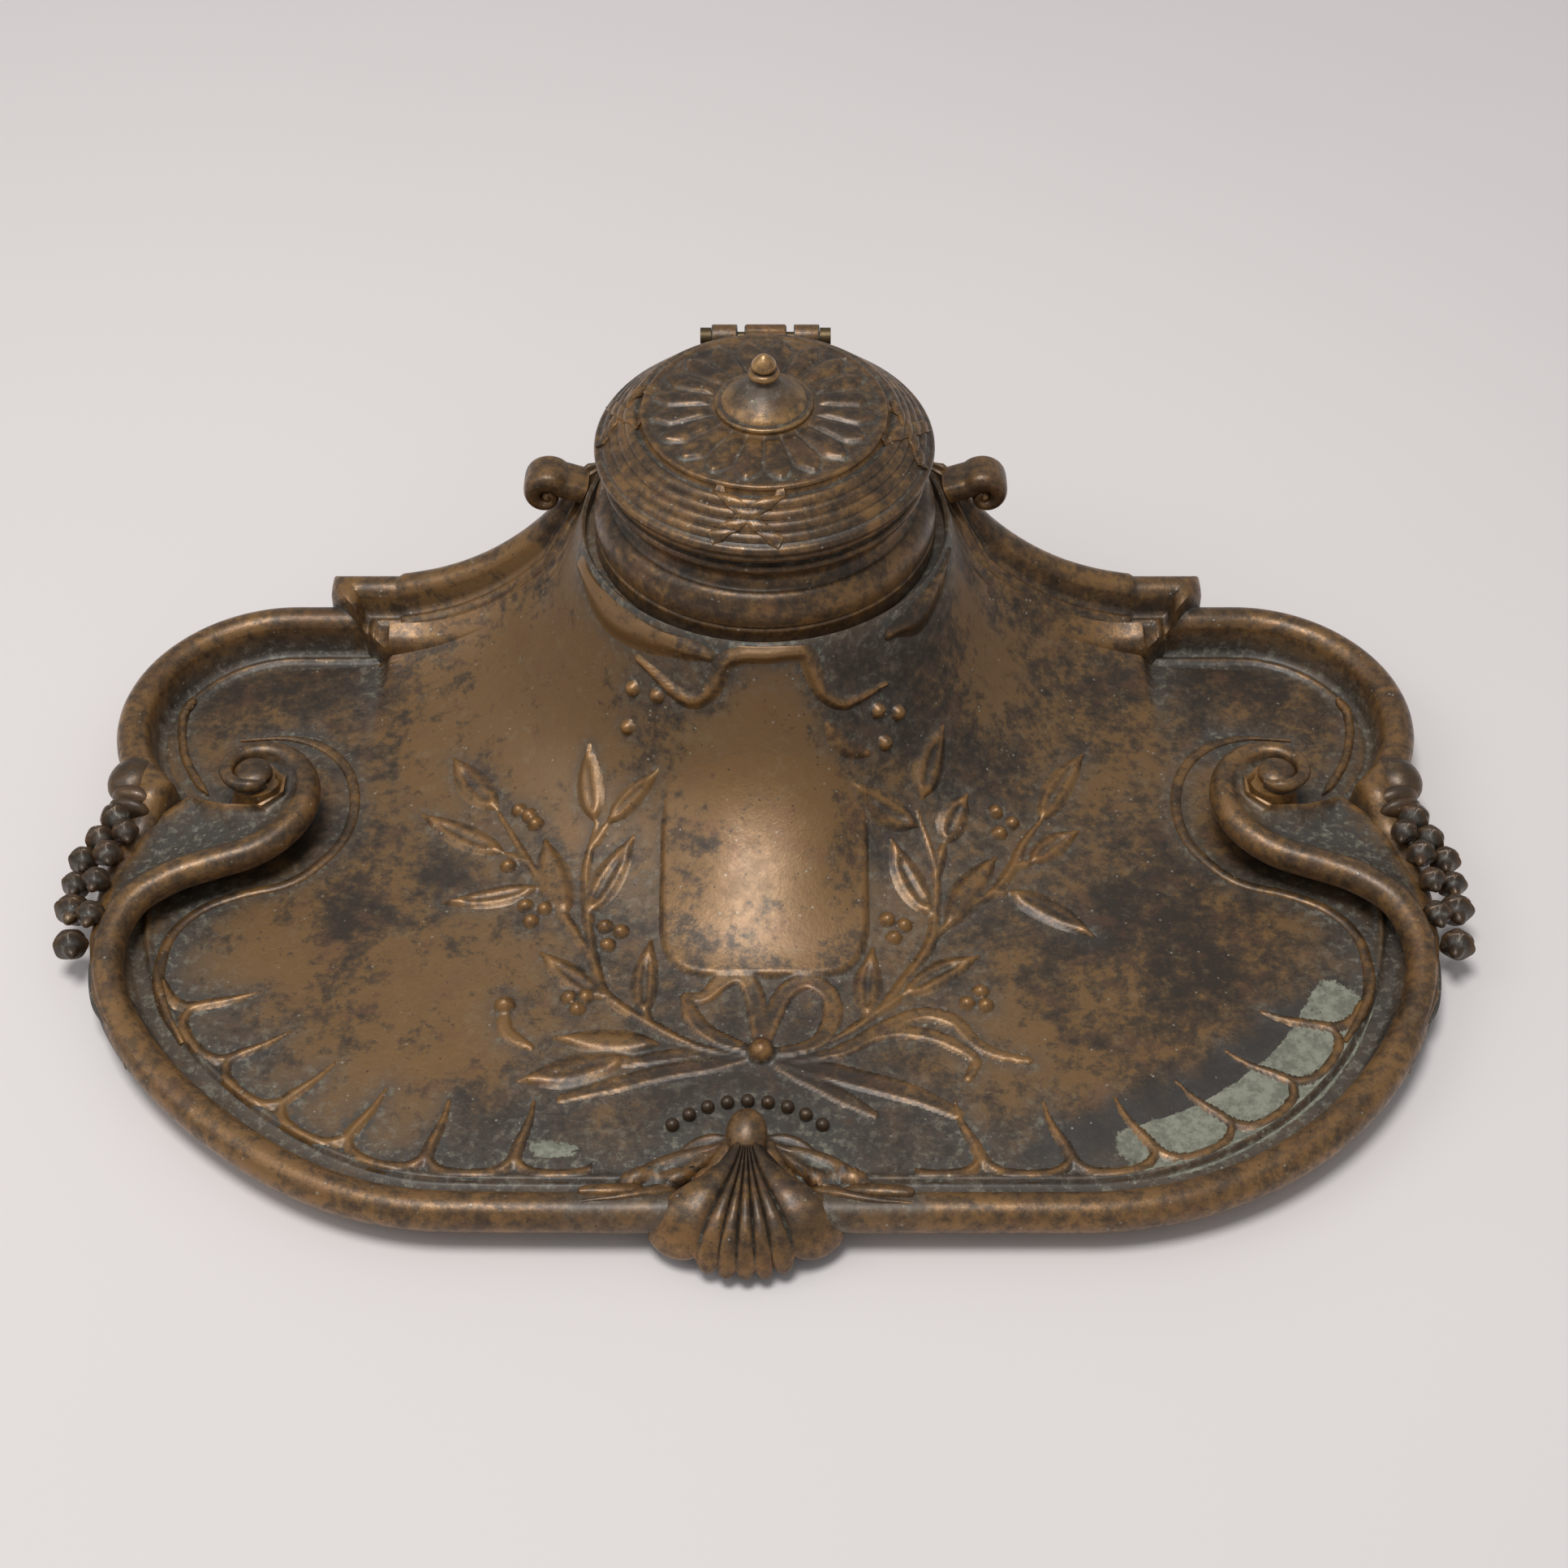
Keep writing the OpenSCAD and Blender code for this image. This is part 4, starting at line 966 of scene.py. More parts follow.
class Relief:
    """Soft cast relief, worked as heights over a net of points that lies on a surface.

    DEEP is the height of a point that carries nothing, SUNK the share of a form's height that is let into
    the surface, and SKIRT the distance, in half widths, at which a form ends.
    """

    DEEP = -0.4
    SUNK = 0.07
    SKIRT = 1.6

    def __init__(self, ground: Ground, plan: np.ndarray, soften: int = 8) -> None:
        """Lays the net.

        Args:
            ground: the surface.
            plan: plan points in rows and columns.
            soften: rounds of smoothing that take the surface's facets out.
        """
        self.ground = ground
        z = smoothed(np.array([[ground.hit(x, y)[0] for x, y in row] for row in plan]), soften)
        self.base = np.dstack([plan, z])
        normal = np.cross(np.gradient(self.base, axis=0), np.gradient(self.base, axis=1))
        normal /= np.linalg.norm(normal, axis=2)[..., None]
        self.normal = normal * np.sign(normal[..., 2:])
        self.height = np.full(z.shape, self.DEEP)

    def near(self, path: Sequence[Point2], steps: int = 8) -> tuple[np.ndarray, np.ndarray]:
        """Measures the net's points against a path on the surface.

        Args:
            path: plan points of the path.
            steps: stretches between neighbouring points.

        Returns:
            The distance to the path and the share of its length, at each point of the net.
        """
        line = rounded_path(path, steps)
        line = np.array([self.ground.on(x, y) for x, y in line])
        run = np.r_[0, np.cumsum(np.linalg.norm(np.diff(line, axis=0), axis=1))]
        best = np.full(self.height.shape, 1e9)
        share = np.zeros(self.height.shape)
        for i in range(len(line) - 1):
            a, ab = line[i], line[i + 1] - line[i]
            size = max(1e-9, float(ab @ ab))
            t = unit(((self.base - a) @ ab) / size)
            d = np.linalg.norm(self.base - a - t[..., None] * ab, axis=2)
            closer = d < best
            best[closer] = d[closer]
            share[closer] = ((run[i] + t * math.sqrt(size)) / run[-1])[closer]
        return best, share

    def add(self, height: np.ndarray, blend: float = 0.12) -> None:
        """Lays a form over the others with a soft joint."""
        t = unit(0.5 + 0.5 * (height - self.height) / blend)
        self.height = self.height + (height - self.height) * t + blend * t * (1 - t)

    def strand(self, path: Sequence[Point2], half: float, high: float,
               taper: tuple[float, float] = (0.5, 0.4), flat: float = 0.0) -> None:
        """Raises a strand along a path.

        Args:
            path: plan points of the path.
            half: half of its width.
            high: its height.
            taper: share of the width that is left at its start and end.
            flat: 0 for a round strand, 1 for a flat ribbon with raised edges.
        """
        d, t = self.near(path)
        w = half * np.interp(t, (0, 0.22, 0.7, 1), (taper[0], 1, 1, taper[1]))
        s = d / w
        ribbon = eased((1.18 - s) / 0.4) * (0.72 + 0.28 * np.minimum(s, 1) ** 2)
        shape = mix(np.exp(-1.6 * s ** 2.3), ribbon, flat)
        self.add(high * (np.minimum(1, w / half + 0.25) * shape - self.SUNK) + self.DEEP * (s > self.SKIRT))

    def leaf(self, base: Point2, tip: Point2, half: float, high: float = 0.95, open_blade: float = 1.0,
             bow: float = 0.5) -> None:
        """Raises a leaf with a long hollow in its blade.

        Args:
            base: plan point of its base.
            tip: plan point of its tip.
            half: half of its width.
            high: its height.
            open_blade: depth of the hollow, 0 for a full blade.
            bow: how far it bows sideways.
        """
        a, b = np.array(base), np.array(tip)
        side = np.array((a[1] - b[1], b[0] - a[0])) / np.linalg.norm(b - a)
        d, t = self.near([a, a + (b - a) * 0.5 + side * bow, b])
        w = half * np.maximum(0.16, np.sin(np.pi * unit(t ** 0.82)) ** 0.8)
        s = d / w
        groove = np.exp(-(s / 0.40) ** 2) * unit((t - 0.10) / 0.12) * unit((0.82 - t) / 0.14)
        body = np.exp(-1.25 * s ** 3.2) * (1 - 0.72 * open_blade * groove)
        ends = unit(0.45 + 5 * t) * unit(0.55 + 5 * (1 - t))
        self.add(high * (body * ends - self.SUNK) + self.DEEP * (s > self.SKIRT))

    def berry(self, centre: Point2, r: float) -> None:
        """Raises a round berry."""
        d = np.linalg.norm(self.base - self.ground.on(*centre), axis=2)
        dome = 0.85 * np.sqrt(np.maximum(0, r * r - d * d)) + (r - d) * 0.25 - 0.05
        self.add(np.where(d < r * 1.3, dome, -1.0))

    def crowned(self) -> np.ndarray:
        """Returns the points that stand clear of the surface, for the grime and painted shade round them."""
        return self.base[self.height > 0.25][::2] * MM + np.array((0, WELL_Y * MM, 0))

    def worked(self) -> np.ndarray:
        """Returns which cells of the net carry a form, with no two cells that meet at one corner only."""
        keep = self.height > self.DEEP * 0.75
        cell = keep[:-1, :-1] | keep[1:, :-1] | keep[:-1, 1:] | keep[1:, 1:]
        for _ in range(3):
            a, b, c, d = cell[:-1, :-1], cell[1:, 1:], cell[1:, :-1], cell[:-1, 1:]
            falls, climbs = a & b & ~c & ~d, c & d & ~a & ~b
            c |= falls
            a |= climbs
        return cell

    def build(self, name: str, form: DishForm) -> bpy.types.Object:
        """Turns the worked part of the net into a closed piece.

        Args:
            name: the piece's name.
            form: the dish that it lies on.

        Returns:
            The piece.
        """
        n, m = self.height.shape
        cell = self.worked()
        used = np.zeros((n, m), bool)
        for i in (0, 1):
            for j in (0, 1):
                used[i:n - 1 + i, j:m - 1 + j] |= cell
        index = np.full((n, m), -1)
        index[used] = np.arange(used.sum())
        top = (self.base + self.normal * self.height[..., None])[used]
        below = (self.base + self.normal * (self.DEEP - 0.5))[used]
        count = len(top)
        i, j = np.nonzero(cell)
        quads = np.stack([index[i, j], index[i + 1, j], index[i + 1, j + 1], index[i, j + 1]], 1)
        a, b, c = (top[quads[0, k]] for k in range(3))
        if np.cross(b - a, c - a)[2] < 0:
            quads = quads[:, ::-1]
        sides = np.concatenate([quads[:, [k, (k + 1) % 4]] for k in range(4)])
        pairs = set(map(tuple, sides.tolist()))
        rim = [(q, p, p + count, q + count) for p, q in pairs if (q, p) not in pairs]
        points = np.vstack([top, below])
        faces = quads.tolist() + (quads[:, ::-1] + count).tolist() + rim
        piece = meshed(name, (points * MM + (0, WELL_Y * MM, 0)).tolist(), [], faces)
        only(piece)
        bpy.ops.object.shade_smooth_by_angle(angle=math.radians(70))
        self.mark(piece, used, points[:, 0], points[:, 1], form)
        return piece

    def mark(self, piece: bpy.types.Object, used: np.ndarray, x: np.ndarray, y: np.ndarray,
             form: DishForm) -> None:
        """Marks wear on the crests, grime in the valleys, and the dish's own patches of tone with painted
        highlight and shade, and its deposit.

        Args:
            piece: the closed piece, with its top points first and as many below.
            used: which points of the net it uses.
            x: its points' places across.
            y: its points' places from front to back.
            form: the dish that it lies on.
        """
        soft = smoothed(self.height, 14)
        crest = unit((self.height - soft - 0.02) * 2.6) * (self.height > 0.1)
        valley = unit((soft - self.height) * 2.4) * (self.height < 0.5)
        count = int(used.sum())
        paint(piece, "ridge", np.r_[crest[used], np.zeros(count)])
        paint(piece, "hollow", np.r_[valley[used], np.ones(count)])
        # Patches of tone, some of them painted highlight and painted shade.
        paint(piece, "tone_and_light", tone_and_light_at(x, y))
        # The relief carries none of the painted black shadow.
        paint(piece, "shadow_and_dark_patina", np.zeros(2 * count))
        paint(piece, "chalk", Tide().chalk(x, y, form) * (np.tile(self.height[used], 2) < 0.12))


@dataclass
class Dish:
    """The casting and the fine relief that was chased on it."""

    form: DishForm
    piece: bpy.types.Object | None = None
    ground: Ground | None = None

    def build(self) -> None:
        """Makes the casting's skin and the ground for the ornament."""
        rows = np.array([self.form.column(e) for e in self.form.edges()])
        self.piece = mend(skin("dish_casting", rows, ring=True), 50)
        self.ground = Ground(self.piece)

    def dress(self, material: bpy.types.Material, crowns: Sequence[np.ndarray],
              roots: Sequence[np.ndarray]) -> None:
        """Marks wear, grime with painted shade, patches of tone with painted highlight and shade, the chalky
        deposit, a darker patch and a painted black shadow beside the scrolls, and dresses the dish.

        Args:
            material: the dish's finish.
            crowns: points of the ornaments round which grime and painted shade are laid.
            roots: points of the rolls' low parts; the floor beside them is painted black as the shadow under
                the overhanging roll, with its dark patina.
        """
        weather(self.piece, 5, 40, 0.8)
        mesh = self.piece.data
        x, y, z = numbers(mesh.vertices, "co", 3).T / MM
        y = y - WELL_Y
        form, floor_z = self.form, 7
        # Patches of patina tone, with painted highlight and painted shade in some of them.
        paint(self.piece, "tone_and_light", tone_and_light_at(x, y))
        open_floor = (z > 4.6) & (z < 43) & (y > -58) & (np.abs(x) < 84)
        paint(self.piece, "hollow", mark_of(mesh, "hollow") * np.where(open_floor, 0.12, 0.8))
        paint(self.piece, "ridge", mark_of(mesh, "ridge") * 0.42)
        # Grime with painted shade round the ornaments and at the foot of the collar, and a grey band of grime
        # inside the front rim.
        collar = np.exp(-np.maximum(0, np.hypot(x, y) - form.lip_r - 0.5) / 2.2)
        shade_and_grime = np.exp(-gaps(mesh, crowns) / 1.9) * 0.9 + collar * 0.6
        outer = ((y < -form.corner_y) | (np.abs(x) > form.corner_x + 35)) & (z < 9)
        floor_edge = np.where(outer, np.exp(-((form.depth(x, y) - 17) / 8) ** 2), 0)
        paint(self.piece, "shade_and_grime", unit(shade_and_grime + 0.45 * floor_edge))
        # Painted black shadow on the floor under the overhanging scroll rolls, with their dark patina.
        beside = np.maximum(0, gaps(mesh, roots) - 0.7) / 1.5
        paint(self.piece, "shadow_and_dark_patina", np.exp(-beside ** 2) * (z < 8) * 0.93)
        paint(self.piece, "chalk", Tide().chalk(x, y, form) * (z < floor_z))
        # The darker patch with a straight edge behind the deposit.
        paint(self.piece, "dark_patch", Tide().dark_patch(x, y, form) * (z < floor_z))
        dress(self.piece, material, Body.STAND, "dish_bronze", "tray")


# Leaves of the two laurel sprays: tip, base, half width and depth of the hollow
LEAVES = (
    ((-60.5, -27.8), (-51.0, -41.1), 2.5, 1.0), ((-65.3, -40.9), (-48.9, -51.2), 2.2, 1.0),
    ((-59.3, -62.3), (-41.6, -59.4), 1.9, 0.8), ((-41.1, -49.3), (-36.2, -65.6), 2.8, 0.15),
    ((-33.1, -34.4), (-31.7, -47.0), 2.2, 0.7), ((-19.8, -42.5), (-29.3, -47.9), 1.8, 0.8),
    ((-24.4, -51.4), (-32.3, -65.8), 2.5, 1.0), ((-40.3, -74.0), (-28.2, -84.2), 2.2, 0.7),
    ((-20.5, -71.9), (-21.1, -88.0), 2.0, 0.9), ((-36.5, -92.6), (-18.4, -93.9), 2.4, 0.1),
    ((-42.1, -101.7), (-23.6, -96.8), 2.9, 0.3),
    ((16.4, -45.0), (28.4, -48.6), 2.5, 1.0), ((33.5, -31.6), (29.5, -43.6), 2.6, 0.9),
    ((38.1, -40.9), (33.7, -50.9), 2.4, 0.9), ((23.5, -51.9), (30.8, -66.2), 2.4, 1.0),
    ((43.0, -52.8), (33.2, -68.5), 2.6, 0.15), ((61.6, -26.6), (52.2, -43.6), 2.3, 1.0),
    ((59.2, -45.4), (49.7, -53.4), 2.1, 0.9), ((59.9, -69.9), (45.0, -60.0), 2.4, 0.4),
    ((38.6, -74.9), (24.7, -83.5), 2.3, 1.0), ((19.6, -73.7), (18.4, -88.4), 2.2, 0.8),
)
BERRIES = (
    (-46.6, -42.1), (-44.5, -43.6), (-43.2, -45.6), (-47.8, -54.3), (-43.9, -63.5), (-40.3, -64.3),
    (-42.7, -66.9), (-29.0, -68.6), (-26.1, -69.8), (-28.4, -72.6), (-34.6, -84.0), (-31.7, -83.9),
    (-33.0, -86.4), (43.6, -43.0), (46.6, -44.9), (44.1, -47.4), (22.4, -67.5), (25.4, -68.5), (23.5, -71.2),
    (36.0, -85.2), (39.3, -85.6), (38.6, -82.6),
)
HIGH_BERRIES = ((-24.4, -31.9), (-19.7, -34.6), (-25.5, -35.4), (21.0, -35.5), (24.8, -34.1), (22.4, -38.3))
STEMS = (
    ((-3.0, -96.6), (-12, -94.3), (-20.4, -89.4), (-28.2, -83.2), (-31.2, -75.1), (-36.4, -66.5),
     (-43.5, -54.5), (-50.6, -42.0)),
    ((-28.2, -83.2), (-30.7, -75.7), (-32.3, -65.8), (-33.0, -56), (-31.4, -47.5)),
    ((-32.2, -52), (-29.4, -48)), ((-43.8, -54), (-48.4, -51.4)), ((-38.2, -64.0), (-41.4, -59.6)),
    ((-20.4, -89.8), (-21.2, -86.0)),
    ((3.0, -96.8), (9.9, -94.5), (19.0, -88.2), (26.4, -78.4), (30.3, -71.4), (31.4, -64.0), (31.6, -57),
     (30.6, -51.8), (28.6, -46.1)),
    ((30.3, -71.4), (36.3, -64.8), (42.5, -60.0), (46.2, -54.6), (48.4, -49.4), (52.2, -43.6)),
    ((31.6, -58), (33.4, -51)), ((19.0, -88.2), (24.7, -83.5)), ((41.5, -60.6), (45.2, -60.2)),
    ((46.4, -54.4), (49.8, -53.2)), ((18.0, -89.2), (18.6, -86.5)),
)
# Bands of the bow and its tails: path, half width and height
BOW = (
    (((-0.8, -94.2), (-0.9, -88.5), (-2.2, -82.5), (-4.4, -79.6), (-7.6, -81.0), (-10.4, -84.0),
      (-13.8, -84.2)), 1.7, 0.95),
    (((-13.8, -84.2), (-12.4, -88.6), (-8.6, -92.6), (-2.0, -95.6)), 1.5, 0.95),
    (((0.2, -94.2), (1.6, -88.8), (3.6, -83.6), (7.4, -80.9), (11.2, -83.0), (12.2, -87.6), (10.6, -92.4),
      (7.4, -94.8), (1.2, -96.0)), 1.6, 0.95),
    (((-1.5, -96.4), (-8.5, -98.2), (-16.9, -99.9), (-25.2, -102.4), (-34.5, -105.4)), 1.5, 0.45),
    (((-2.5, -95.2), (-9.5, -95.6), (-18, -96.8), (-25, -98.2)), 1.2, 0.4),
    (((1.5, -97.0), (8.5, -99.0), (17, -101.6), (26, -104.6), (33, -108.4)), 1.9, 0.5),
    (((2.5, -98.6), (8, -101.6), (14, -105.4), (19, -108.6)), 1.3, 0.4),
    (((6.0, -97.2), (13.8, -95.4), (21.0, -90.6), (28.0, -87.6), (33.4, -89.0), (36.4, -93.0), (40.0, -95.8),
      (46.0, -97.4)), 1.3, 0.75),
    (((13.0, -95.0), (21.5, -91.6), (28.3, -91.9), (33.5, -94.2), (36.8, -97.4), (35.4, -101.2)), 1.2, 0.7),
    (((-45.9, -86.3), (-45.6, -90.0), (-44.0, -92.4), (-40.6, -94.6)), 1.1, 0.7),
)
# Knot of the bow and the end of its left tail: plan point and radius
KNOTS = (((-0.4, -95.7), 2.5), ((-45.9, -85.6), 1.9))
# Draperies on the mound, under the collar: path, half width and height
DRAPERIES = (
    (((-34.6, -10.0), (-31.6, -17.2), (-28.0, -23.2), (-22.6, -28.2), (-15.2, -32.6), (-10.0, -34.8)),
     3.0, 1.15),
    (((34.4, -8.0), (31.8, -16.2), (28.2, -23.0), (22.8, -28.2)), 2.7, 1.0),
    (((-23.2, -29.9), (-19.9, -32.8), (-16.6, -35.4), (-12.9, -37.3), (-9.4, -37.2), (-7.2, -35.9),
      (-4.6, -35.8), (0.5, -36.0), (5.0, -35.5), (7.4, -35.2), (8.8, -36.1), (10.8, -37.3), (14.2, -37.2),
      (17.9, -35.4), (22.4, -32.4)), 1.45, 0.95),
    (((11.5, -39.9), (14.6, -41.2), (19.2, -40.6)), 1.3, 0.6),
)


@dataclass
class Wreath:
    """The medallion, the two sprays of laurel round it and the ribbon below."""

    half_w: float = 19.2
    low: float = -80.5
    high: float = -38.0
    rise: float = 0.95
    power: float = 4.6
    berry_r: float = 1.5
    mesh_step: float = 0.46

    def medallion(self, net: Relief) -> None:
        """Raises the plain cushion, which melts into the mound at its top."""
        x, y = net.base[..., 0], net.base[..., 1]
        mid, half = (self.low + self.high) / 2, (self.high - self.low) / 2
        across, along = np.abs(x / self.half_w), np.abs((y - mid) / half)
        s = (across ** self.power + along ** self.power) ** (1 / self.power)
        fade = eased((self.high - 4 - y) / 14)
        edge = eased((1.012 - s) / 0.075)
        net.add(self.rise * fade * edge - net.SUNK + 2 * net.DEEP * (s > 1.02))

    def build(self, ground: Ground) -> dict[str, Relief]:
        """Works the relief on two nets.

        Args:
            ground: the surface they lie on.

        Returns:
            The net of the floor and the net of the mound under the collar, by name.
        """
        across, along = np.arange(-69, 66, self.mesh_step), np.arange(-111, -24, self.mesh_step)
        net = Relief(ground, np.dstack(np.meshgrid(across, along, indexing="ij")))
        self.medallion(net)
        for path in STEMS:
            net.strand(path, 0.95, 0.65)
        for tip, base, half, open_blade in LEAVES:
            net.leaf(base, tip, half, open_blade=open_blade)
        for centre in BERRIES:
            net.berry(centre, self.berry_r)
        for path, half, high in BOW:
            net.strand(path, half, high, (0.6, 0.55), 0.85)
        for centre, size in KNOTS:
            net.berry(centre, size)
        r = 35.35 + 15.5 * np.linspace(0, 1, 78) ** 1.9
        a = np.radians(np.linspace(-90 - 78, -90 + 78, 250))
        mound = Relief(ground, np.dstack([np.outer(np.cos(a), r), np.outer(np.sin(a), r)]), 4)
        for path, half, high in DRAPERIES:
            mound.strand(path, half, high)
        for centre in HIGH_BERRIES:
            mound.berry(centre, self.berry_r)
        return {"wreath_relief": net, "mound_relief": mound}


# Thin lines on the right of the floor, round the scroll and in the lobe: path, half width and height
SCROLL_LINES = (
    (((101.5, -94.0), (106.8, -85.2), (108.6, -77.2), (107.9, -69.6), (103.7, -63.6), (97.0, -59.9),
      (88.9, -57.3), (83.6, -52.6), (79.6, -45.6), (78.9, -37.0), (81.4, -28.6), (87.0, -22.4),
      (94.4, -19.8), (103.6, -20.6)), 1.05, 0.62),
    (((114.6, -9.5), (115.9, -13.0), (115.6, -18.5), (113.6, -25.3), (110.2, -31.4), (107.4, -35.2)),
     0.9, 0.8),
)


@dataclass
class Gadroons:
    """Shallow tongues along the front of the floor, and the thin lines round the scrolls."""

    depth: float = 12.2
    pitch: float = 15.1
    inner: float = 12.9
    start_a: float = -16.0

    def plan(self, form: DishForm, side: Side, s: float, d: float) -> Point2:
        """Finds a plan point along the front of the floor.

        Args:
            form: the dish.
            side: which half.
            s: the length along the inner line, from the side to the front.
            d: the distance inside the rim.

        Returns:
            The plan point.
        """
        r = form.corner_r - self.inner
        a = self.start_a - math.degrees(s / r)
        turn = math.radians(90 + self.start_a)
        x, y = form.corner_x - (s - turn * r), d - form.corner_y - form.corner_r
        if a > -90:
            p = polar(form.corner_r - d, a)
            x, y = form.corner_x + p[0], p[1] - form.corner_y
        return form.drawn_in(side.value * x, y)

    def build(self, form: DishForm, ground: Ground, side: Side) -> Relief:
        """Works the lines on one half.

        Args:
            form: the dish.
            ground: its surface.
            side: which half.

        Returns:
            The net that holds the lines.
        """
        first, lean, end = (9.8, 2.0, 96.0) if side is Side.LEFT else (14.6, 3.2, 99.0)
        along, deep = np.arange(-9, end + 3, 0.45), np.arange(9.5, 30, 0.42)
        plan = np.array([[self.plan(form, side, s, d) for d in deep] for s in along])
        net = Relief(ground, plan, 3)
        count = math.ceil((end - 6 - first) / self.pitch) + 1
        for k in range(count):
            s0, s1 = first + self.pitch * (k - 1), first + self.pitch * k
            tongue = [(s0 + lean * 0.4, 5.2), (s0 + 0.8, 2.6), (s0 + 3.4, 0.5), ((s0 + s1) / 2, 0),
                      (s1 - 3.2, 0.5), (s1 - 0.3, 2.6), (s1 + lean * 0.4, 6.2), (s1 + lean, 10.5),
                      (s1 + lean * 1.3, 15)]
            path = [self.plan(form, side, s, self.depth + d) for s, d in tongue[3 if k == 0 else 0:]]
            net.strand(path, 0.95, 0.62, (0.6, 0.3))
        return net

    def lines(self, ground: Ground, side: Side) -> bpy.types.Object:
        """Lays the thin lines that run round the scroll, and returns them."""
        bands = []
        for path, wide, high in SCROLL_LINES:
            mirrored = [(side.value * x, y) for x, y in path]
            bands.append(band("line", ground, mirrored,
                              lambda t: wide * min(1, 8 * t + 0.45, 6 * (1 - t) + 0.2), lambda t: high))
        return mend(joined(bands, f"scroll_lines_{side.name.lower()}"))


@dataclass
class Scroll:
    """The roll that leaves the side rim, turns in and winds up to an eye."""

    side: Side
    form: DishForm
    eye: Point2 = (96.5, -38.5)
    eye_z: float = 16.0
    turn_z: float = 13.2
    first: float = 17.5
    tube: float = 2.9
    tip: float = 1.25
    turn: float = 405.0
    # Plan points of the roll's crest before it winds up
    lead: tuple = ((108.1, -99.9), (112.6, -92.5), (116.0, -84), (117.0, -75), (114.4, -66.6), (108.2, -61.2),
                   (101.8, -58.2))
    # Foot of the shallow channel behind the roll: progress, place, height and the line that edges it
    progress: tuple = (0.0, 0.33, 0.5, 0.64, 0.8, 0.9, 1.0, 1.12, 1.22, 1.3)
    foot_x: tuple = (110.2, 118.2, 120.6, 119.4, 115.0, 109.5, 101.8, 94.6, 90.6, 90.4)
    foot_y: tuple = (-101.2, -86.0, -73.0, -58.0, -44.5, -39.6, -44.2, -46.2, -43.6, -40.0)
    foot_z: tuple = (8.0, 8.4, 8.2, 7.6, 7.2, 7.8, 10.8, 12.6, 13.3, 13.8)
    edge: tuple = (0.0, 0.0, 0.0, 0.0, 0.3, 0.5, 0.7, 0.7, 0.55, 0.3)

    def path(self) -> list[tuple[float, float, float, float, float]]:
        """Returns plan point, crest height, roll radius and progress at each station."""
        wide = self.tube + 0.1
        line = rounded_path((*self.lead, (self.eye[0], self.eye[1] - self.first)), 10)[:-1]
        out = []
        for i, q in enumerate(line):
            t = i / len(line)
            crest = mix(self.form.side_top(-34) - 0.3, self.turn_z, ease(t * 1.3))
            out.append((q[0], q[1], crest, mix(self.tube, wide, t), t))
        for i in range(170):
            t = self.turn * (i / 169) ** 0.9
            r = mix(4.1, self.first, math.exp(-t / 105)) - 0.001 * t
            q = polar(r, -90 - t)
            end = ease((self.turn - t) / 45)
            wound = min(1, t / 300)
            crest = mix(self.turn_z, self.eye_z, wound) - 0.9 * (1 - end)
            out.append((self.eye[0] + q[0], self.eye[1] + q[1], crest,
                        mix(wide, self.tip, wound) * mix(0.45, 1, end), 1 + t / 360))
        return out

    def foot(self, p: np.ndarray, crest: float, q: float) -> tuple[np.ndarray, float]:
        """Returns the channel's foot at a share q of the way, and the height of the line on it."""
        foot = np.array([np.interp(q, self.progress, v) for v in (self.foot_x, self.foot_y, self.foot_z)])
        if q <= self.progress[-1]:
            return foot, float(np.interp(q, self.progress, self.edge))
        past = ease((q - self.progress[-1]) / 0.1)
        spoke = p - self.eye
        inner = np.array((*(np.array(self.eye) + spoke / math.hypot(*spoke) * 3.1), crest - 2.2))
        return mix(foot, inner, past), 0.3 * (1 - past)

    def section(self, p: np.ndarray, back: np.ndarray, crest: float, r: float, q: float) -> list[Point3]:
        """Works out one section of roll and channel, on the right side.

        Args:
            p: the plan point under the crest.
            back: the plan direction away from the channel.
            crest: the height of the crest.
            r: the radius of the roll.
            q: the share of the way from the rim, past 1 where it winds up.

        Returns:
            The points of the section, from the roll's lower edge over its crest to the channel's foot.
        """
        floor_z = self.form.floor_z
        low = floor_z - 1.6
        under = 1.25 * r * ease(q * 4)
        near, far = mix(6.4, low, ease((q - 0.42) / 0.16)), mix(5.6, low, ease((q - 0.66) / 0.16))
        row = [(*(p + back * under), near), (*(p + back * under), max(floor_z + 0.6, near + 0.3)),
               (*(p + back * (under - 0.25 * r)), max(near + 0.6, mix(floor_z, crest - 2 * r, 0.6)))]
        for k in range(15):
            a = math.radians(mix(222, 38, k / 14))
            row.append((*(p + back * r * math.cos(a)), crest - r + r * math.sin(a)))
        foot, bump = self.foot(p, crest, q)
        start = np.array(row[-1])
        sag = 0.9 * ease(q * 2)
        for s in (0.16, 0.34, 0.52, 0.70, 0.84):
            point = mix(start, foot, s)
            sunk = sag * math.sin(math.pi * s) * 0.8
            point[2] = mix(start[2], foot[2], s ** mix(0.8, 0.45, ease(q * 1.2))) - sunk
            row.append(tuple(point))
        out = foot[:2] - p
        out = out / math.hypot(*out)
        fall = ease((q - 0.7) / 0.2) * ease((1.36 - q) / 0.06)
        wide = mix(0.9, 1.9, fall)
        for d, z in ((-0.7, foot[2] + bump * 0.8), (0, foot[2] + bump), (0.7, foot[2] + bump * 0.3 - 0.2),
                     (wide, mix(foot[2] - 0.8, floor_z - 0.3, fall)), (wide, far)):
            row.append((*(foot[:2] + out * d), z))
        return row

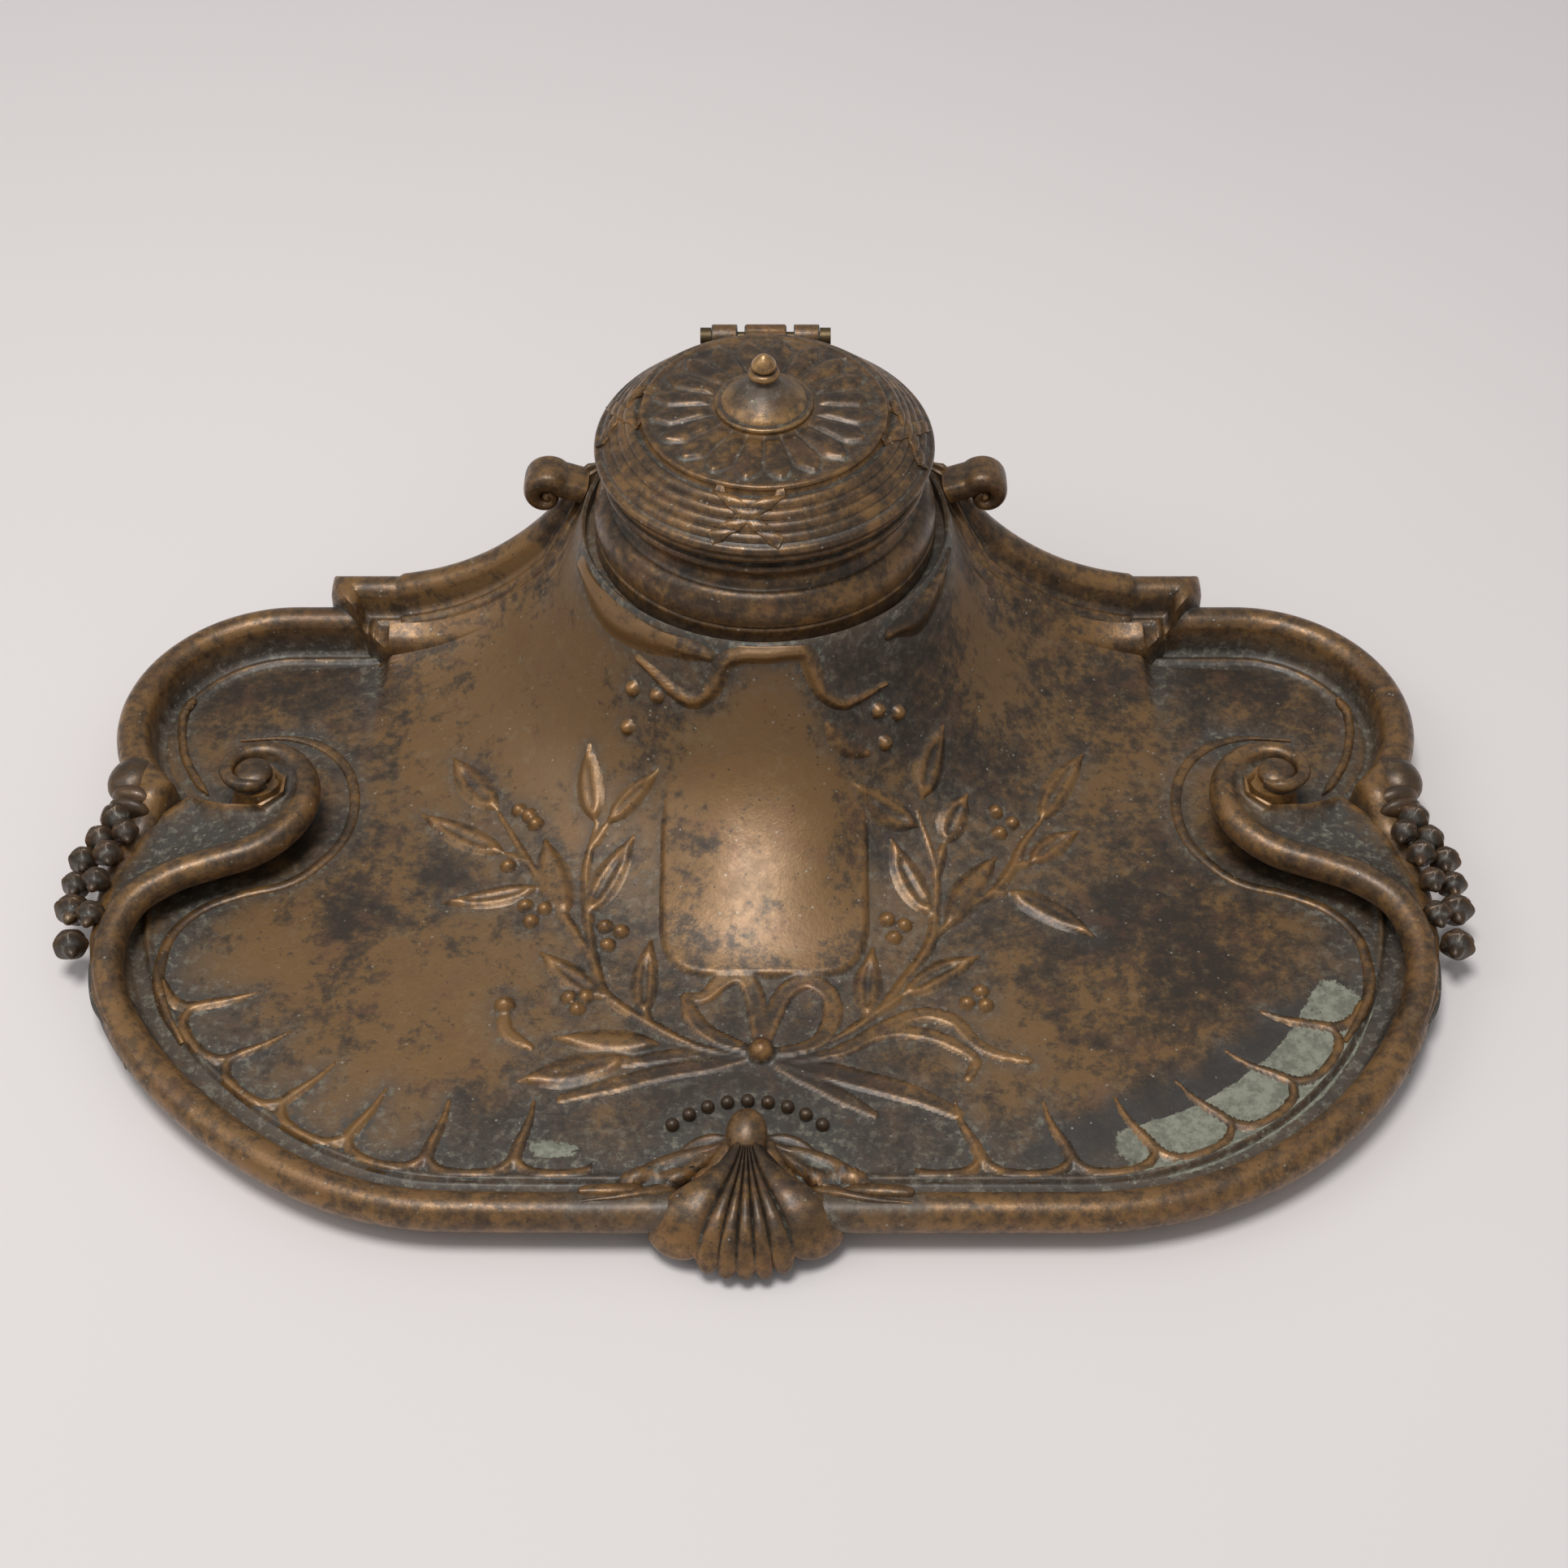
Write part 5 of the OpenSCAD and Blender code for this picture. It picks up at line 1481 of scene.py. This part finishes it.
    def build(self) -> bpy.types.Object:
        """Sweeps roll and channel, adds the eye and its core and returns the piece."""
        path, side = self.path(), self.side.value
        rows = []
        for i, (x, y, crest, r, q) in enumerate(path):
            before, after = path[max(0, i - 1)], path[min(len(path) - 1, i + 1)]
            d = np.array((after[0] - before[0], after[1] - before[1]))
            d /= math.hypot(*d)
            row = self.section(np.array((x, y)), np.array((d[1], -d[0])), crest, r, q)
            rows.append([(*self.form.drawn_in(u * side, v), w) for u, v, w in row])
        name = f"scroll_{self.side.name.lower()}_roll"
        roll = outward(skin(name, np.array(rows)))
        x, y = self.eye
        eye = ball((x * side, y, self.eye_z - 2.1), (3.6, 3.6, 1.5), fine=32)
        bpy.ops.mesh.primitive_cone_add(
            vertices=64, radius1=7.0 * MM, radius2=4.2 * MM, depth=9.6 * MM,
            location=place(((x - 0.9) * side, y - 1.0, self.form.floor_z + 4.7)))
        scroll = joined([roll, eye, bpy.context.object], name)
        bpy.ops.object.shade_smooth_by_angle(angle=math.radians(60))
        return scroll


@dataclass
class Curl:
    """The roll at the top of the back wall, beside the collar."""

    side: Side
    centre: Point2 = (42.5, 40.7)
    radius: float = 5.5
    middle: float = 12.9
    deep: float = 4.1

    def build(self) -> bpy.types.Object:
        """Sweeps the curl from the collar over its top to the eye, and returns it."""
        (mid_x, mid_z), side = self.centre, self.side.value
        line = [(mix(35.4, mid_x - 2.3, i / 10), mix(41.0, mid_z + 2.0, i / 10), 2.3, 118.0)
                for i in range(10)]
        for i in range(64):
            t = i / 63
            a = math.radians(mix(128, -250, t))
            r = mix(self.radius - 2.2, 1.1, ease(t * 1.02))
            thick = mix(2.2, 0.85, ease(t))
            line.append((mid_x + r * math.cos(a), mid_z + r * math.sin(a), thick, math.degrees(a)))
        rows = []
        for cx, cz, thick, turn in line:
            a = math.radians(turn)
            row = []
            for k in range(28):
                b = 2 * math.pi * k / 28
                out = thick * math.copysign(abs(math.cos(b)) ** 0.75, math.cos(b))
                y = self.middle + self.deep * math.copysign(abs(math.sin(b)) ** 0.5, math.sin(b))
                row.append(((cx + out * math.cos(a)) * side, y, cz + out * math.sin(a)))
            rows.append(row)
        name = f"curl_{self.side.name.lower()}_roll"
        eye = ball((mid_x * side, self.middle - 0.4, mid_z), (1.6, 3.6, 1.6), fine=22)
        return mend(joined([skin(name, np.array(rows)), eye], name), 60)


@dataclass
class Shell:
    """The fluted shell over the front rim, its leaves and the row of beads above it."""

    shift: float = -2.6
    stem_y: float = -112.6
    length: float = 27.4
    # Ribs: angle at the end, half width in degrees, height and share of the length
    ribs: tuple = ((-33, 12.5, 1.5, 0.97), (-15.5, 4.6, 1.1, 0.985), (-7.6, 3.7, 1.1, 1.0),
                   (0, 3.8, 1.15, 1.0), (7.6, 3.7, 1.1, 1.0), (15.5, 4.6, 1.1, 0.985), (33, 12.5, 1.5, 0.97))
    # Heights of the ground under the ribs at distances from the stem
    run: tuple = (-1, 0, 1.5, 4, 8, 13, 17.5, 20.5, 23, 25, 26.6, 27.6)
    rise: tuple = (3.0, 4.4, 6.9, 8.9, 9.7, 10.0, 10.1, 9.5, 8.2, 6.3, 4.2, 3.0)
    # Paths of the arms along the rim, of the leaves behind them and of the small leaves at the stem
    arms: tuple = (((-5.2, -115.8), (-8.2, -120.6), (-13.5, -125.2), (-21.5, -128.3), (-29.5, -129.6)),
                   ((0.4, -115.8), (3.0, -120.8), (8.2, -125.6), (16.0, -128.9), (24.5, -130.0)))
    leaves: tuple = (((-6.5, -115.2), (-14.5, -119.8), (-21.5, -124.2), (-29.8, -127.6)),
                     ((1.6, -115.4), (9.2, -119.6), (16.0, -124.6), (24.6, -128.2)))
    small: tuple = (((-4.8, -113.9), (-9.5, -115.2), (-14.5, -117.6)),
                    ((-0.2, -113.9), (4.4, -115.2), (9.4, -117.4)))
    beads: int = 9
    bead_r: float = 1.2
    row_r: float = 19.0
    row_a: float = 84.0

    def rib(self, a: float, s: float, high: float, part: float, edge: float) -> list[Point3]:
        """Works out one line of the folded skin, from the stem to the shell's front and back below.

        Args:
            a: the angle of the line at its end.
            s: its place across the rib, from -1 to 1.
            high: the height of the rib.
            part: the rib's share of the shell's length.
            edge: 0 at the shell's sides, 1 inside them.

        Returns:
            The points of the line.
        """
        crown = math.sqrt(max(0.0, 1 - abs(s) ** 2.2))
        reach = self.length * part * (1 - 0.035 * s * s) * mix(0.93, 1, edge)
        row = []
        for k in range(34):
            t = k / 33
            d = mix(-0.6, reach, t)
            lean = math.radians(a * (0.30 + 0.58 * ease(t)))
            close = math.sqrt(max(0.0, 1 - limit((t - 0.86) / 0.14) ** 2))
            swell = (high * crown * ease(t * 1.6) + 0.5 * (1 - ease(t * 2.2))) * close
            z = float(np.interp(d, self.run, self.rise)) + swell
            row.append((self.shift + d * math.sin(lean), self.stem_y - d * math.cos(lean), z))
        for k in (33, 26, 20, 13, 6, 0):
            x, y, z = row[k]
            drop = mix(0.3, 2.6, edge) * (0.35 if k == 33 else 1.0)
            row.append((x, y + 0.4 * (k == 33), max(2.4, z - drop - high * crown * 0.5)))
        return row

    def fan(self) -> bpy.types.Object:
        """Makes the ribs as one folded skin and returns it."""
        marks = []
        for a, half, high, part in self.ribs:
            count = max(10, int(half * 2.2))
            marks += [(mix(a - half, a + half, k / count), 2 * k / count - 1, high, part)
                      for k in range(count)]
        a, half, high, part = self.ribs[-1]
        marks.append((a + half, 1.0, high, part))
        low, high_a = marks[0][0], marks[-1][0]
        rows = [self.rib(*mark, limit(min(mark[0] - low, high_a - mark[0]) / 2.5)) for mark in marks]
        return skin("fan", np.array(rows))

    def leaf(self, ground: Ground, name: str, path: Sequence[Point2], half: float, high: float,
             groove: float) -> bpy.types.Object:
        """Lays one leaf beside the shell.

        Args:
            ground: the surface of the dish.
            name: the leaf's name.
            path: plan points from its base to its tip.
            half: half of its width.
            high: its height.
            groove: share of the height that its midrib's groove takes away.

        Returns:
            The leaf.
        """
        def shape(t: float) -> float:
            """Returns the leaf's share of its half width along its length."""
            return max(0.12, math.sin(math.pi * limit(t * 0.94 + 0.03)) ** 0.75)

        return band(name, ground, path, lambda t: half * shape(t), lambda t: high * shape(t) ** 0.5, 10,
                    groove=groove)

    def build(self, ground: Ground) -> bpy.types.Object:
        """Makes the shell with its arms and leaves on the surface of the dish, and returns it."""
        parts = [self.fan()]
        for path in self.arms:
            parts.append(band("arm", ground, path, lambda t: mix(2.3, 0.25, t),
                              lambda t: mix(2.4, 0.15, t), 10))
        parts += [self.leaf(ground, "rim_leaf", path, 3.7, 2.3, 0.6) for path in self.leaves]
        parts += [self.leaf(ground, "small_leaf", path, 2.3, 1.9, 0.5) for path in self.small]
        parts.append(ball((self.shift, self.stem_y - 3.4, 8.6), (3.5, 4.6, 2.5), (18, 0, 0), fine=26))
        return mend(joined(parts, "front_shell_flutes"), 70)

    def pearls(self, ground: Ground) -> bpy.types.Object:
        """Sets the row of beads on the surface of the dish, and returns it."""
        row = []
        for i in range(self.beads):
            p = polar(self.row_r, 90 + self.row_a * (i / (self.beads - 1) - 0.5))
            spot = ground.on(self.shift + p[0], self.stem_y - 12.5 + p[1], 0.55)
            row.append(ball(tuple(spot), (self.bead_r,) * 3, fine=18))
        return mend(joined(row, "bead_row"))


# Husks down the right side: place, half sizes and turn about Z
HUSKS = (
    ((121.8, -46.6, 9.6), (3.0, 4.0, 2.9), -34), ((124.0, -51.2, 8.8), (2.9, 3.5, 2.9), -30),
    ((126.4, -55.8, 8.2), (2.8, 3.1, 2.8), -10), ((126.8, -61.2, 7.6), (2.7, 2.9, 2.7), 0),
    ((121.6, -55.6, 10.0), (2.7, 3.2, 2.6), -16), ((119.4, -50.4, 10.2), (2.5, 3.2, 2.3), -24),
    ((126.0, -67.6, 8.0), (3.3, 3.4, 3.2), 0), ((124.6, -75.4, 7.8), (3.1, 3.4, 3.0), -20),
    ((122.6, -61.8, 9.8), (2.5, 3.0, 2.4), 0), ((122.0, -69.6, 9.4), (2.7, 3.2, 2.5), 0),
)


# Bud over the joint, its cuff and its collar: place, half sizes, turn about Z and faces round it
BUD = (
    ((120.4, -36.0, 9.0), (4.6, 5.6, 3.7), 24, 28), ((119.2, -41.2, 9.2), (4.5, 2.3, 3.2), 14, 24),
    ((119.6, -43.6, 9.0), (4.2, 1.8, 2.9), 14, 24),
)


@dataclass
class Husks:
    """The bud over the joint in the rim, and the cluster of husks below it."""

    side: Side

    def build(self) -> bpy.types.Object:
        """Models bud and husks from beads with pinched tips and returns them."""
        side = self.side.value
        parts = []
        for (x, y, z), size, turn in HUSKS:
            husk = ball(((x - 0.5) * side, y, z), size, (-14, 0, turn * side), 32)
            for v in husk.data.vertices:
                t = (1 - v.co.y / MM) / 2
                ribs = 1 + 0.045 * math.cos(5 * math.atan2(v.co.z, v.co.x)) * math.sin(math.pi * t)
                waist = 1 - 0.16 * math.exp(-((t - 0.24) / 0.06) ** 2)
                pinch = (1 - 0.5 * ease((t - 0.5) / 0.5)) * waist * ribs
                v.co = (v.co.x * pinch, v.co.y - 0.2 * MM * ease((t - 0.7) / 0.3), v.co.z * pinch)
            parts.append(husk)
        for (x, y, z), size, turn, fine in BUD:
            parts.append(ball((x * side, y, z), size, (0, 0, turn * side), fine))
        return mend(joined(parts, f"husks_{self.side.name.lower()}_cluster"))


# ---- Turned parts


@dataclass(frozen=True)
class Hinge:
    """The line of the hinge behind the well, and its knuckles."""

    y: float = 34.3
    z: float = 60.5
    knuckle_r: float = 2.5
    knuckle_w: float = 5.0
    knuckle_x: float = 8.0
    middle_w: float = 8.2

    def knuckle(self, x: float, width: float, edge: float, segments: int) -> bpy.types.Object:
        """Makes a knuckle across the hinge's line.

        Args:
            x: its middle.
            width: its length along the line.
            edge: how far its edges are rounded.
            segments: the steps of that rounding.

        Returns:
            The knuckle.
        """
        bpy.ops.mesh.primitive_cylinder_add(
            vertices=48, radius=self.knuckle_r * MM, depth=width * MM, location=place((x, self.y, self.z)),
            rotation=(0, math.pi / 2, 0))
        return bevelled(bpy.context.object, edge, segments)


HINGE = Hinge()


@dataclass
class Collar:
    """The turned collar with the two knuckles of the hinge."""

    base_r: float = 32.4
    seat_r: float = 28.75
    bore_r: float = 26.2
    ledge_z: float = 41.0
    top_z: float = 60.3

    def arm(self, x: float) -> bpy.types.Object:
        """Extrudes one knuckle's arm from its side face and returns it."""
        y, z, root, low = HINGE.y, HINGE.z, 27.0, 49.6
        outline = [(root, low), (y - 2.4, low), (y - 0.8, low + 0.8), (y + 1.3, z - 5.2), (y + 2.1, z - 3.4),
                   (y + 2.4, z - 0.6), (y, z), (y - 1.9, z - 1.9), (root, z - 1.9)]
        piece = meshed("arm", [place((x, *p)) for p in outline], [], [list(range(len(outline)))])
        only(piece)
        bpy.ops.object.mode_set(mode="EDIT")
        bpy.ops.mesh.select_all(action="SELECT")
        bpy.ops.mesh.extrude_region_move(TRANSFORM_OT_translate={"value": (HINGE.knuckle_w * MM, 0, 0)})
        bpy.ops.mesh.select_all(action="SELECT")
        bpy.ops.object.mode_set(mode="OBJECT")
        return bevelled(piece, 0.35, 2)

    def build(self) -> bpy.types.Object:
        """Turns the collar, adds the knuckles and returns the piece."""
        base, z, top = self.base_r, self.ledge_z, self.top_z
        shoulder = z + 4.4
        profile = [(self.bore_r, z - 7.4), (self.seat_r, z - 7.4), (self.seat_r, z), (base - 0.4, z),
                   (base, z + 0.4), (base, z + 3.2)]
        profile += arc((base - 0.7, z + 3.3), 0.7, 0.7, 0, 90, 5)
        profile += [(base - 1.0, z + 4.05), (base - 0.9, shoulder - 0.1)]
        profile += arc((base - 3.4, shoulder + 0.3), 3.3, 5.6, -4, 88, 20)
        profile += arc((30.4, 53.4), 2.4, 2.4, 228, 132, 14)
        profile += [(28.7, 55.5)]
        profile += arc((29.3, 56.7), 0.85, 0.85, -85, 82, 10)
        profile += [(28.95, 57.75)]
        profile += arc((29.3, 59.3), 0.9, 0.95, -80, 88, 10)
        profile += [(28.3, top), (28.3, top - 3.8), (self.bore_r, top - 3.8)]
        parts = [turned("collar_ring", profile, 160)]
        for s in (-1, 1):
            x = HINGE.knuckle_x * s
            parts += [HINGE.knuckle(x, HINGE.knuckle_w, 0.3, 3), self.arm(x - HINGE.knuckle_w / 2)]
        return mend(joined(parts, "collar_with_knuckles"), 45)


@dataclass
class Lid:
    """The lid with its reeded band, ribbon ties and middle knuckle."""

    rim_r: float = 31.4
    spigot_r: float = 27.8
    low_z: float = 60.6
    rim: float = 2.2
    disc_r: float = 22.9
    disc_z: float = 68.7
    dome_z: float = 69.6
    reeds: int = 4
    tie_turn: float = 6.0

    def profile(self) -> list[Point2]:
        """Returns the lid's section."""
        z = self.low_z
        out = [(self.spigot_r, z)]
        out += arc((self.rim_r - self.rim / 2, z + self.rim / 2), self.rim / 2, self.rim / 2, -84, 84, 16)
        start = np.array((self.rim_r - self.rim / 2 - 0.5, z + self.rim + 0.02))
        end = np.array((self.disc_r + 0.9, self.disc_z - 0.5))
        run = (end - start) / self.reeds
        length = math.hypot(*run)
        up = np.array((run[1], -run[0])) / length
        for i in range(self.reeds):
            for k in range(1, 10):
                a = math.pi * k / 10
                q = start + run * (i + 0.5 - 0.5 * math.cos(a)) + up * length * 0.30 * math.sin(a) ** 0.8
                out.append((q[0], q[1]))
        top, under = self.dome_z, self.dome_z - 2.2
        out += [(self.disc_r + 0.35, self.disc_z - 0.9), (self.disc_r - 0.2, self.disc_z - 0.4),
                (self.disc_r - 0.3, self.disc_z), (9.0, top), (1.6, top), (1.6, under), (9.0, under),
                (self.disc_r - 1, self.disc_z - 2.6), (26.3, z + 2.4), (26.3, z - 2.6),
                (self.spigot_r, z - 2.6)]
        return out

    def build(self) -> bpy.types.Object:
        """Turns the lid, lays its ribbon ties, adds the knuckle and returns the piece."""
        body = mend(turned("lid_body", self.profile(), 160), 50)
        ground = Ground(body)
        parts = [body]
        for quarter in (-90 - self.tie_turn, -self.tie_turn, 180 - self.tie_turn):
            for s in (-1, 1):
                path = []
                for k in range(7):
                    t = k / 6
                    r = mix(30.1, self.disc_r, t)
                    path.append(polar(r, quarter + s * math.degrees(mix(6.2, -6.2, t) / r)))
                parts.append(band("tie", ground, path, lambda t: 1.05, lambda t: 0.60, crown=0.5, steps=7))
        parts.append(HINGE.knuckle(0, HINGE.middle_w, 0.5, 4))
        bpy.ops.mesh.primitive_cube_add(size=MM, location=place((0, HINGE.y - 2.7, HINGE.z + 1.5)),
                                        scale=(HINGE.middle_w, 5.2, 1.5))
        parts.append(bevelled(bpy.context.object, 0.6, 3))
        return mend(joined(parts, "lid_with_ties"), 45)


@dataclass
class Rosette:
    """The petalled disc on top of the lid."""

    edge_r: float = 22.5
    hub_r: float = 9.0
    low: float = 68.78
    high: float = 69.65
    thick: float = 0.8
    petals: int = 20

    def top(self, r: float) -> float:
        """Returns the height of the plain disc at a radius."""
        fall, run = self.high - self.low, self.edge_r + 0.4 - self.hub_r
        return self.high + self.thick - (r - self.hub_r) * fall / run

    def build(self) -> bpy.types.Object:
        """Makes the disc with its ring of petals and returns it."""
        steps, edge_r, hub_r = 16, self.edge_r, self.hub_r
        edge, hub = self.top(edge_r), self.top(hub_r)
        rows = []
        for i in range(self.petals * steps):
            a = 360 / (self.petals * steps) * i
            v = abs(2 * (i % steps) / steps - 1)
            row = [(edge_r, edge - self.thick), (edge_r, edge - 0.25), (edge_r - 0.25, edge)]
            for k in range(30):
                r = mix(edge_r - 0.7, hub_r + 0.2, k / 29)
                groove = 0.30 * ease((edge_r - 1.0 - r) / 0.7) * ease((r - hub_r - 0.2) / 0.5)
                row.append((r, self.top(r) - groove + 0.72 * self.petal(r, v)))
            row += [(hub_r, hub), (1.6, hub), (1.6, self.high), (hub_r, self.high)]
            rows.append([(*polar(r, a), z) for r, z in row])
        return mend(skin("petal_disc", np.array(rows), ring=True), 60)

    def petal(self, r: float, v: float) -> float:
        """Returns a petal's share of its height at a radius and a place v from its middle to its side."""
        u = (r - self.hub_r - 0.4) / (self.edge_r - 2.0 - self.hub_r - 0.4)
        if not 0 < u < 1:
            return 0.0
        half = 0.86 * limit(1 - (2 * limit(u) - 0.78) ** 4 * 0.4) * math.sqrt(limit(1 - u) * 6) ** 0.5
        d = v / min(0.9, half) if half > 0.05 else 2.0
        return (1 - d ** 2.6) ** 0.7 * ease(u * 3 + 0.25) if d < 1 else 0.0


@dataclass
class Finial:
    """The pointed finial and its stud."""

    base_z: float = 70.45
    height: float = 11.1
    stud_r: float = 1.5
    stud_z: float = 64.4

    def build(self) -> bpy.types.Object:
        """Turns the finial and returns it."""
        z, tip = self.base_z, self.base_z + self.height
        profile = [(AXIS_R, self.stud_z), (self.stud_r, self.stud_z), (self.stud_r, z), (8.9, z)]
        profile += arc((8.4, z + 0.5), 0.6, 0.5, -60, 90, 8)
        profile += [(8.0, z + 0.95), (7.75, z + 1.3), (7.3, z + 1.75), (5.4, z + 3.1), (3.6, z + 4.5),
                    (2.5, tip - 5.5), (2.05, tip - 5.0)]
        profile += arc((1.9, tip - 4.2), 1.0, 0.85, -72, 80, 10)
        profile += [(1.75, tip - 3.3), (2.2, tip - 2.9), (2.32, tip - 2.4), (2.1, tip - 1.8),
                    (1.6, tip - 1.15), (1.0, tip - 0.55), (0.45, tip - 0.14), (AXIS_R, tip)]
        return mend(turned("finial_turned", profile, 96), 50)


# ---- The studio


@dataclass(frozen=True)
class Studio:
    """Floor, light and camera as in the photograph."""

    elevation: float = 47.2
    distance: float = 429.8
    aim: Point2 = (3.6, 23.2)
    lens: float = 50.31
    ground: Colour = (0.80, 0.745, 0.725)

    def floor(self) -> None:
        """Adds the pale floor."""
        bpy.ops.object.select_all(action="DESELECT")
        bpy.ops.mesh.primitive_grid_add(x_subdivisions=4, y_subdivisions=4, size=8, location=(0, 1, 0))
        floor = bpy.context.object
        floor.name = "table_top"
        pen = Pen("pale_paper")
        cloud = pen.noise(3, 3, 0.5)
        pen.link(pen.blend(pen.ramp(cloud, 0.3, 0.7), self.ground, tuple(v * 0.97 for v in self.ground)),
                 pen.shader.inputs["Base Color"])
        pen.shader.inputs["Roughness"].default_value = 0.85
        floor.data.materials.append(pen.material)

    def lights(self) -> None:
        """Adds a wide soft lamp overhead, a weak one from the left and an even sky."""
        world = bpy.data.worlds.new("soft_sky")
        bpy.context.scene.world = world
        world.use_nodes = True
        background = world.node_tree.nodes["Background"]
        background.inputs["Color"].default_value = (0.95, 0.97, 1.0, 1)
        background.inputs["Strength"].default_value = 0.36
        for spot, turn, size, power in (((-0.10, -0.10, 0.95), (0.10, -0.10, 0), 0.34, 5.3),
                                        ((-0.8, -0.1, 0.75), (0, -0.82, 0), 0.6, 1.2)):
            bpy.ops.object.light_add(type="AREA", location=spot, rotation=turn)
            lamp = bpy.context.object
            lamp.data.shape = "DISK"
            lamp.data.size = size
            lamp.data.energy = power

    def camera(self) -> None:
        """Adds the camera at the photograph's viewing angle."""
        a = math.radians(self.elevation)
        spot = (self.aim[0], self.aim[1] - self.distance * math.cos(a), self.distance * math.sin(a))
        data = bpy.data.cameras.new("camera")
        data.lens = self.lens
        data.clip_start = 0.01
        camera = bpy.data.objects.new("camera", data)
        camera.location = [v * MM for v in spot]
        camera.rotation_euler = Euler((math.radians(90 - self.elevation), 0, 0))
        bpy.context.scene.collection.objects.link(camera)
        bpy.context.scene.camera = camera

    def build(self) -> None:
        """Sets up the whole studio."""
        bpy.context.scene.view_settings.view_transform = "Standard"
        self.floor()
        self.lights()
        self.camera()


def main() -> None:
    """Builds the inkstand piece by piece and dresses it."""
    logging.basicConfig(level=logging.INFO, format="%(name)s %(message)s")
    form = DishForm()
    dish_bronze = Patina("dish_patina").build()
    relief_bronze = Patina("relief_patina", warmth=-0.01, rub=0.75, grime_and_shade_strength=1.1).build()
    shell_bronze = Patina("shell_patina", warmth=-0.05, rub=0.6, grime_and_shade_strength=1.3).build()
    dark_bronze = Patina("husk_patina", warmth=-0.12, rub=0.35, grime_and_shade_strength=1.3).build()
    turned_bronze = Patina("turned_patina", warmth=-0.015, rub=0.65, grime_and_shade_strength=1.25, sheen=0.36).build()
    tip_bronze = Patina("finial_patina", rubbed=(0.48, 0.27, 0.10), warmth=0.02, rub=1.2, sheen=0.32).build()
    brass = TurnedBrass("dull_brass").build()
    glaze = Glaze("pot_glaze_white").build()

    dish = Dish(form)
    dish.build()
    ground = dish.ground
    gadroons = Gadroons()
    nets = Wreath().build(ground)
    for side in Side:
        nets[f"gadroons_{side.name.lower()}"] = gadroons.build(form, ground, side)
    lines = [gadroons.lines(ground, side) for side in Side]
    front = Shell()
    shell, beads = front.build(ground), front.pearls(ground)
    scrolls = [Scroll(side, form).build() for side in Side]
    crowns = [net.crowned() for net in nets.values()] + [points_of(piece) for piece in (*lines, beads, shell)]
    # The floor beside the scroll rolls' low points is painted black as their shadow.
    dish.dress(dish_bronze, crowns, [points_of(scroll, 2, 6) for scroll in scrolls])
    for name, net in nets.items():
        dress(net.build(name, form), dish_bronze, Body.STAND, "dish_bronze")

    # Piece, rounds of smoothing for its wear, gain, finish, body, slot and the node that it stands for
    worn = [(piece, 2, 10, 1.0, relief_bronze, Body.STAND, "dish_bronze") for piece in lines]
    worn += [(shell, 3, 14, 1.2, shell_bronze, Body.STAND, "ornament_bronze", "front_shell"),
             (beads, 2, 8, 1.0, dark_bronze, Body.STAND, "ornament_bronze", "shell_pearls")]
    for side, scroll in zip(Side, scrolls):
        word = side.name.lower()
        curl, husks = Curl(side).build(), Husks(side).build()
        worn += [(scroll, 3, 16, 0.7, relief_bronze, Body.STAND, "ornament_bronze", f"scroll_{word}"),
                 (curl, 2, 10, 1.1, relief_bronze, Body.STAND, "ornament_bronze", f"curl_{word}"),
                 (husks, 2, 8, 1.2, dark_bronze, Body.STAND, "ornament_bronze", f"husks_{word}")]
    worn += [(Collar().build(), 3, 16, 1.0, turned_bronze, Body.STAND, "collar_bronze", "collar"),
             (Lid().build(), 2, 12, 1.3, turned_bronze, Body.LID, "lid_bronze", "lid"),
             (Rosette().build(), 2, 10, 1.1, turned_bronze, Body.LID, "lid_bronze", "lid_rosette"),
             (Finial().build(), 3, 14, 1.5, tip_bronze, Body.LID, "finial_bronze", "finial")]
    for piece, fine, broad, gain, finish, body, slot, *nodes in worn:
        weather(piece, fine, broad, gain)
        dress(piece, finish, body, slot, *nodes)
    hidden = {"collar_nut": brass, "ink_pot": glaze, "hinge_pin": brass, "finial_nut": brass}
    for node, material in hidden.items():
        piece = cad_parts[node]
        piece.data.materials.clear()
        piece.data.materials.append(material)
    Studio().build()


if __name__ == "__main__":
    main()
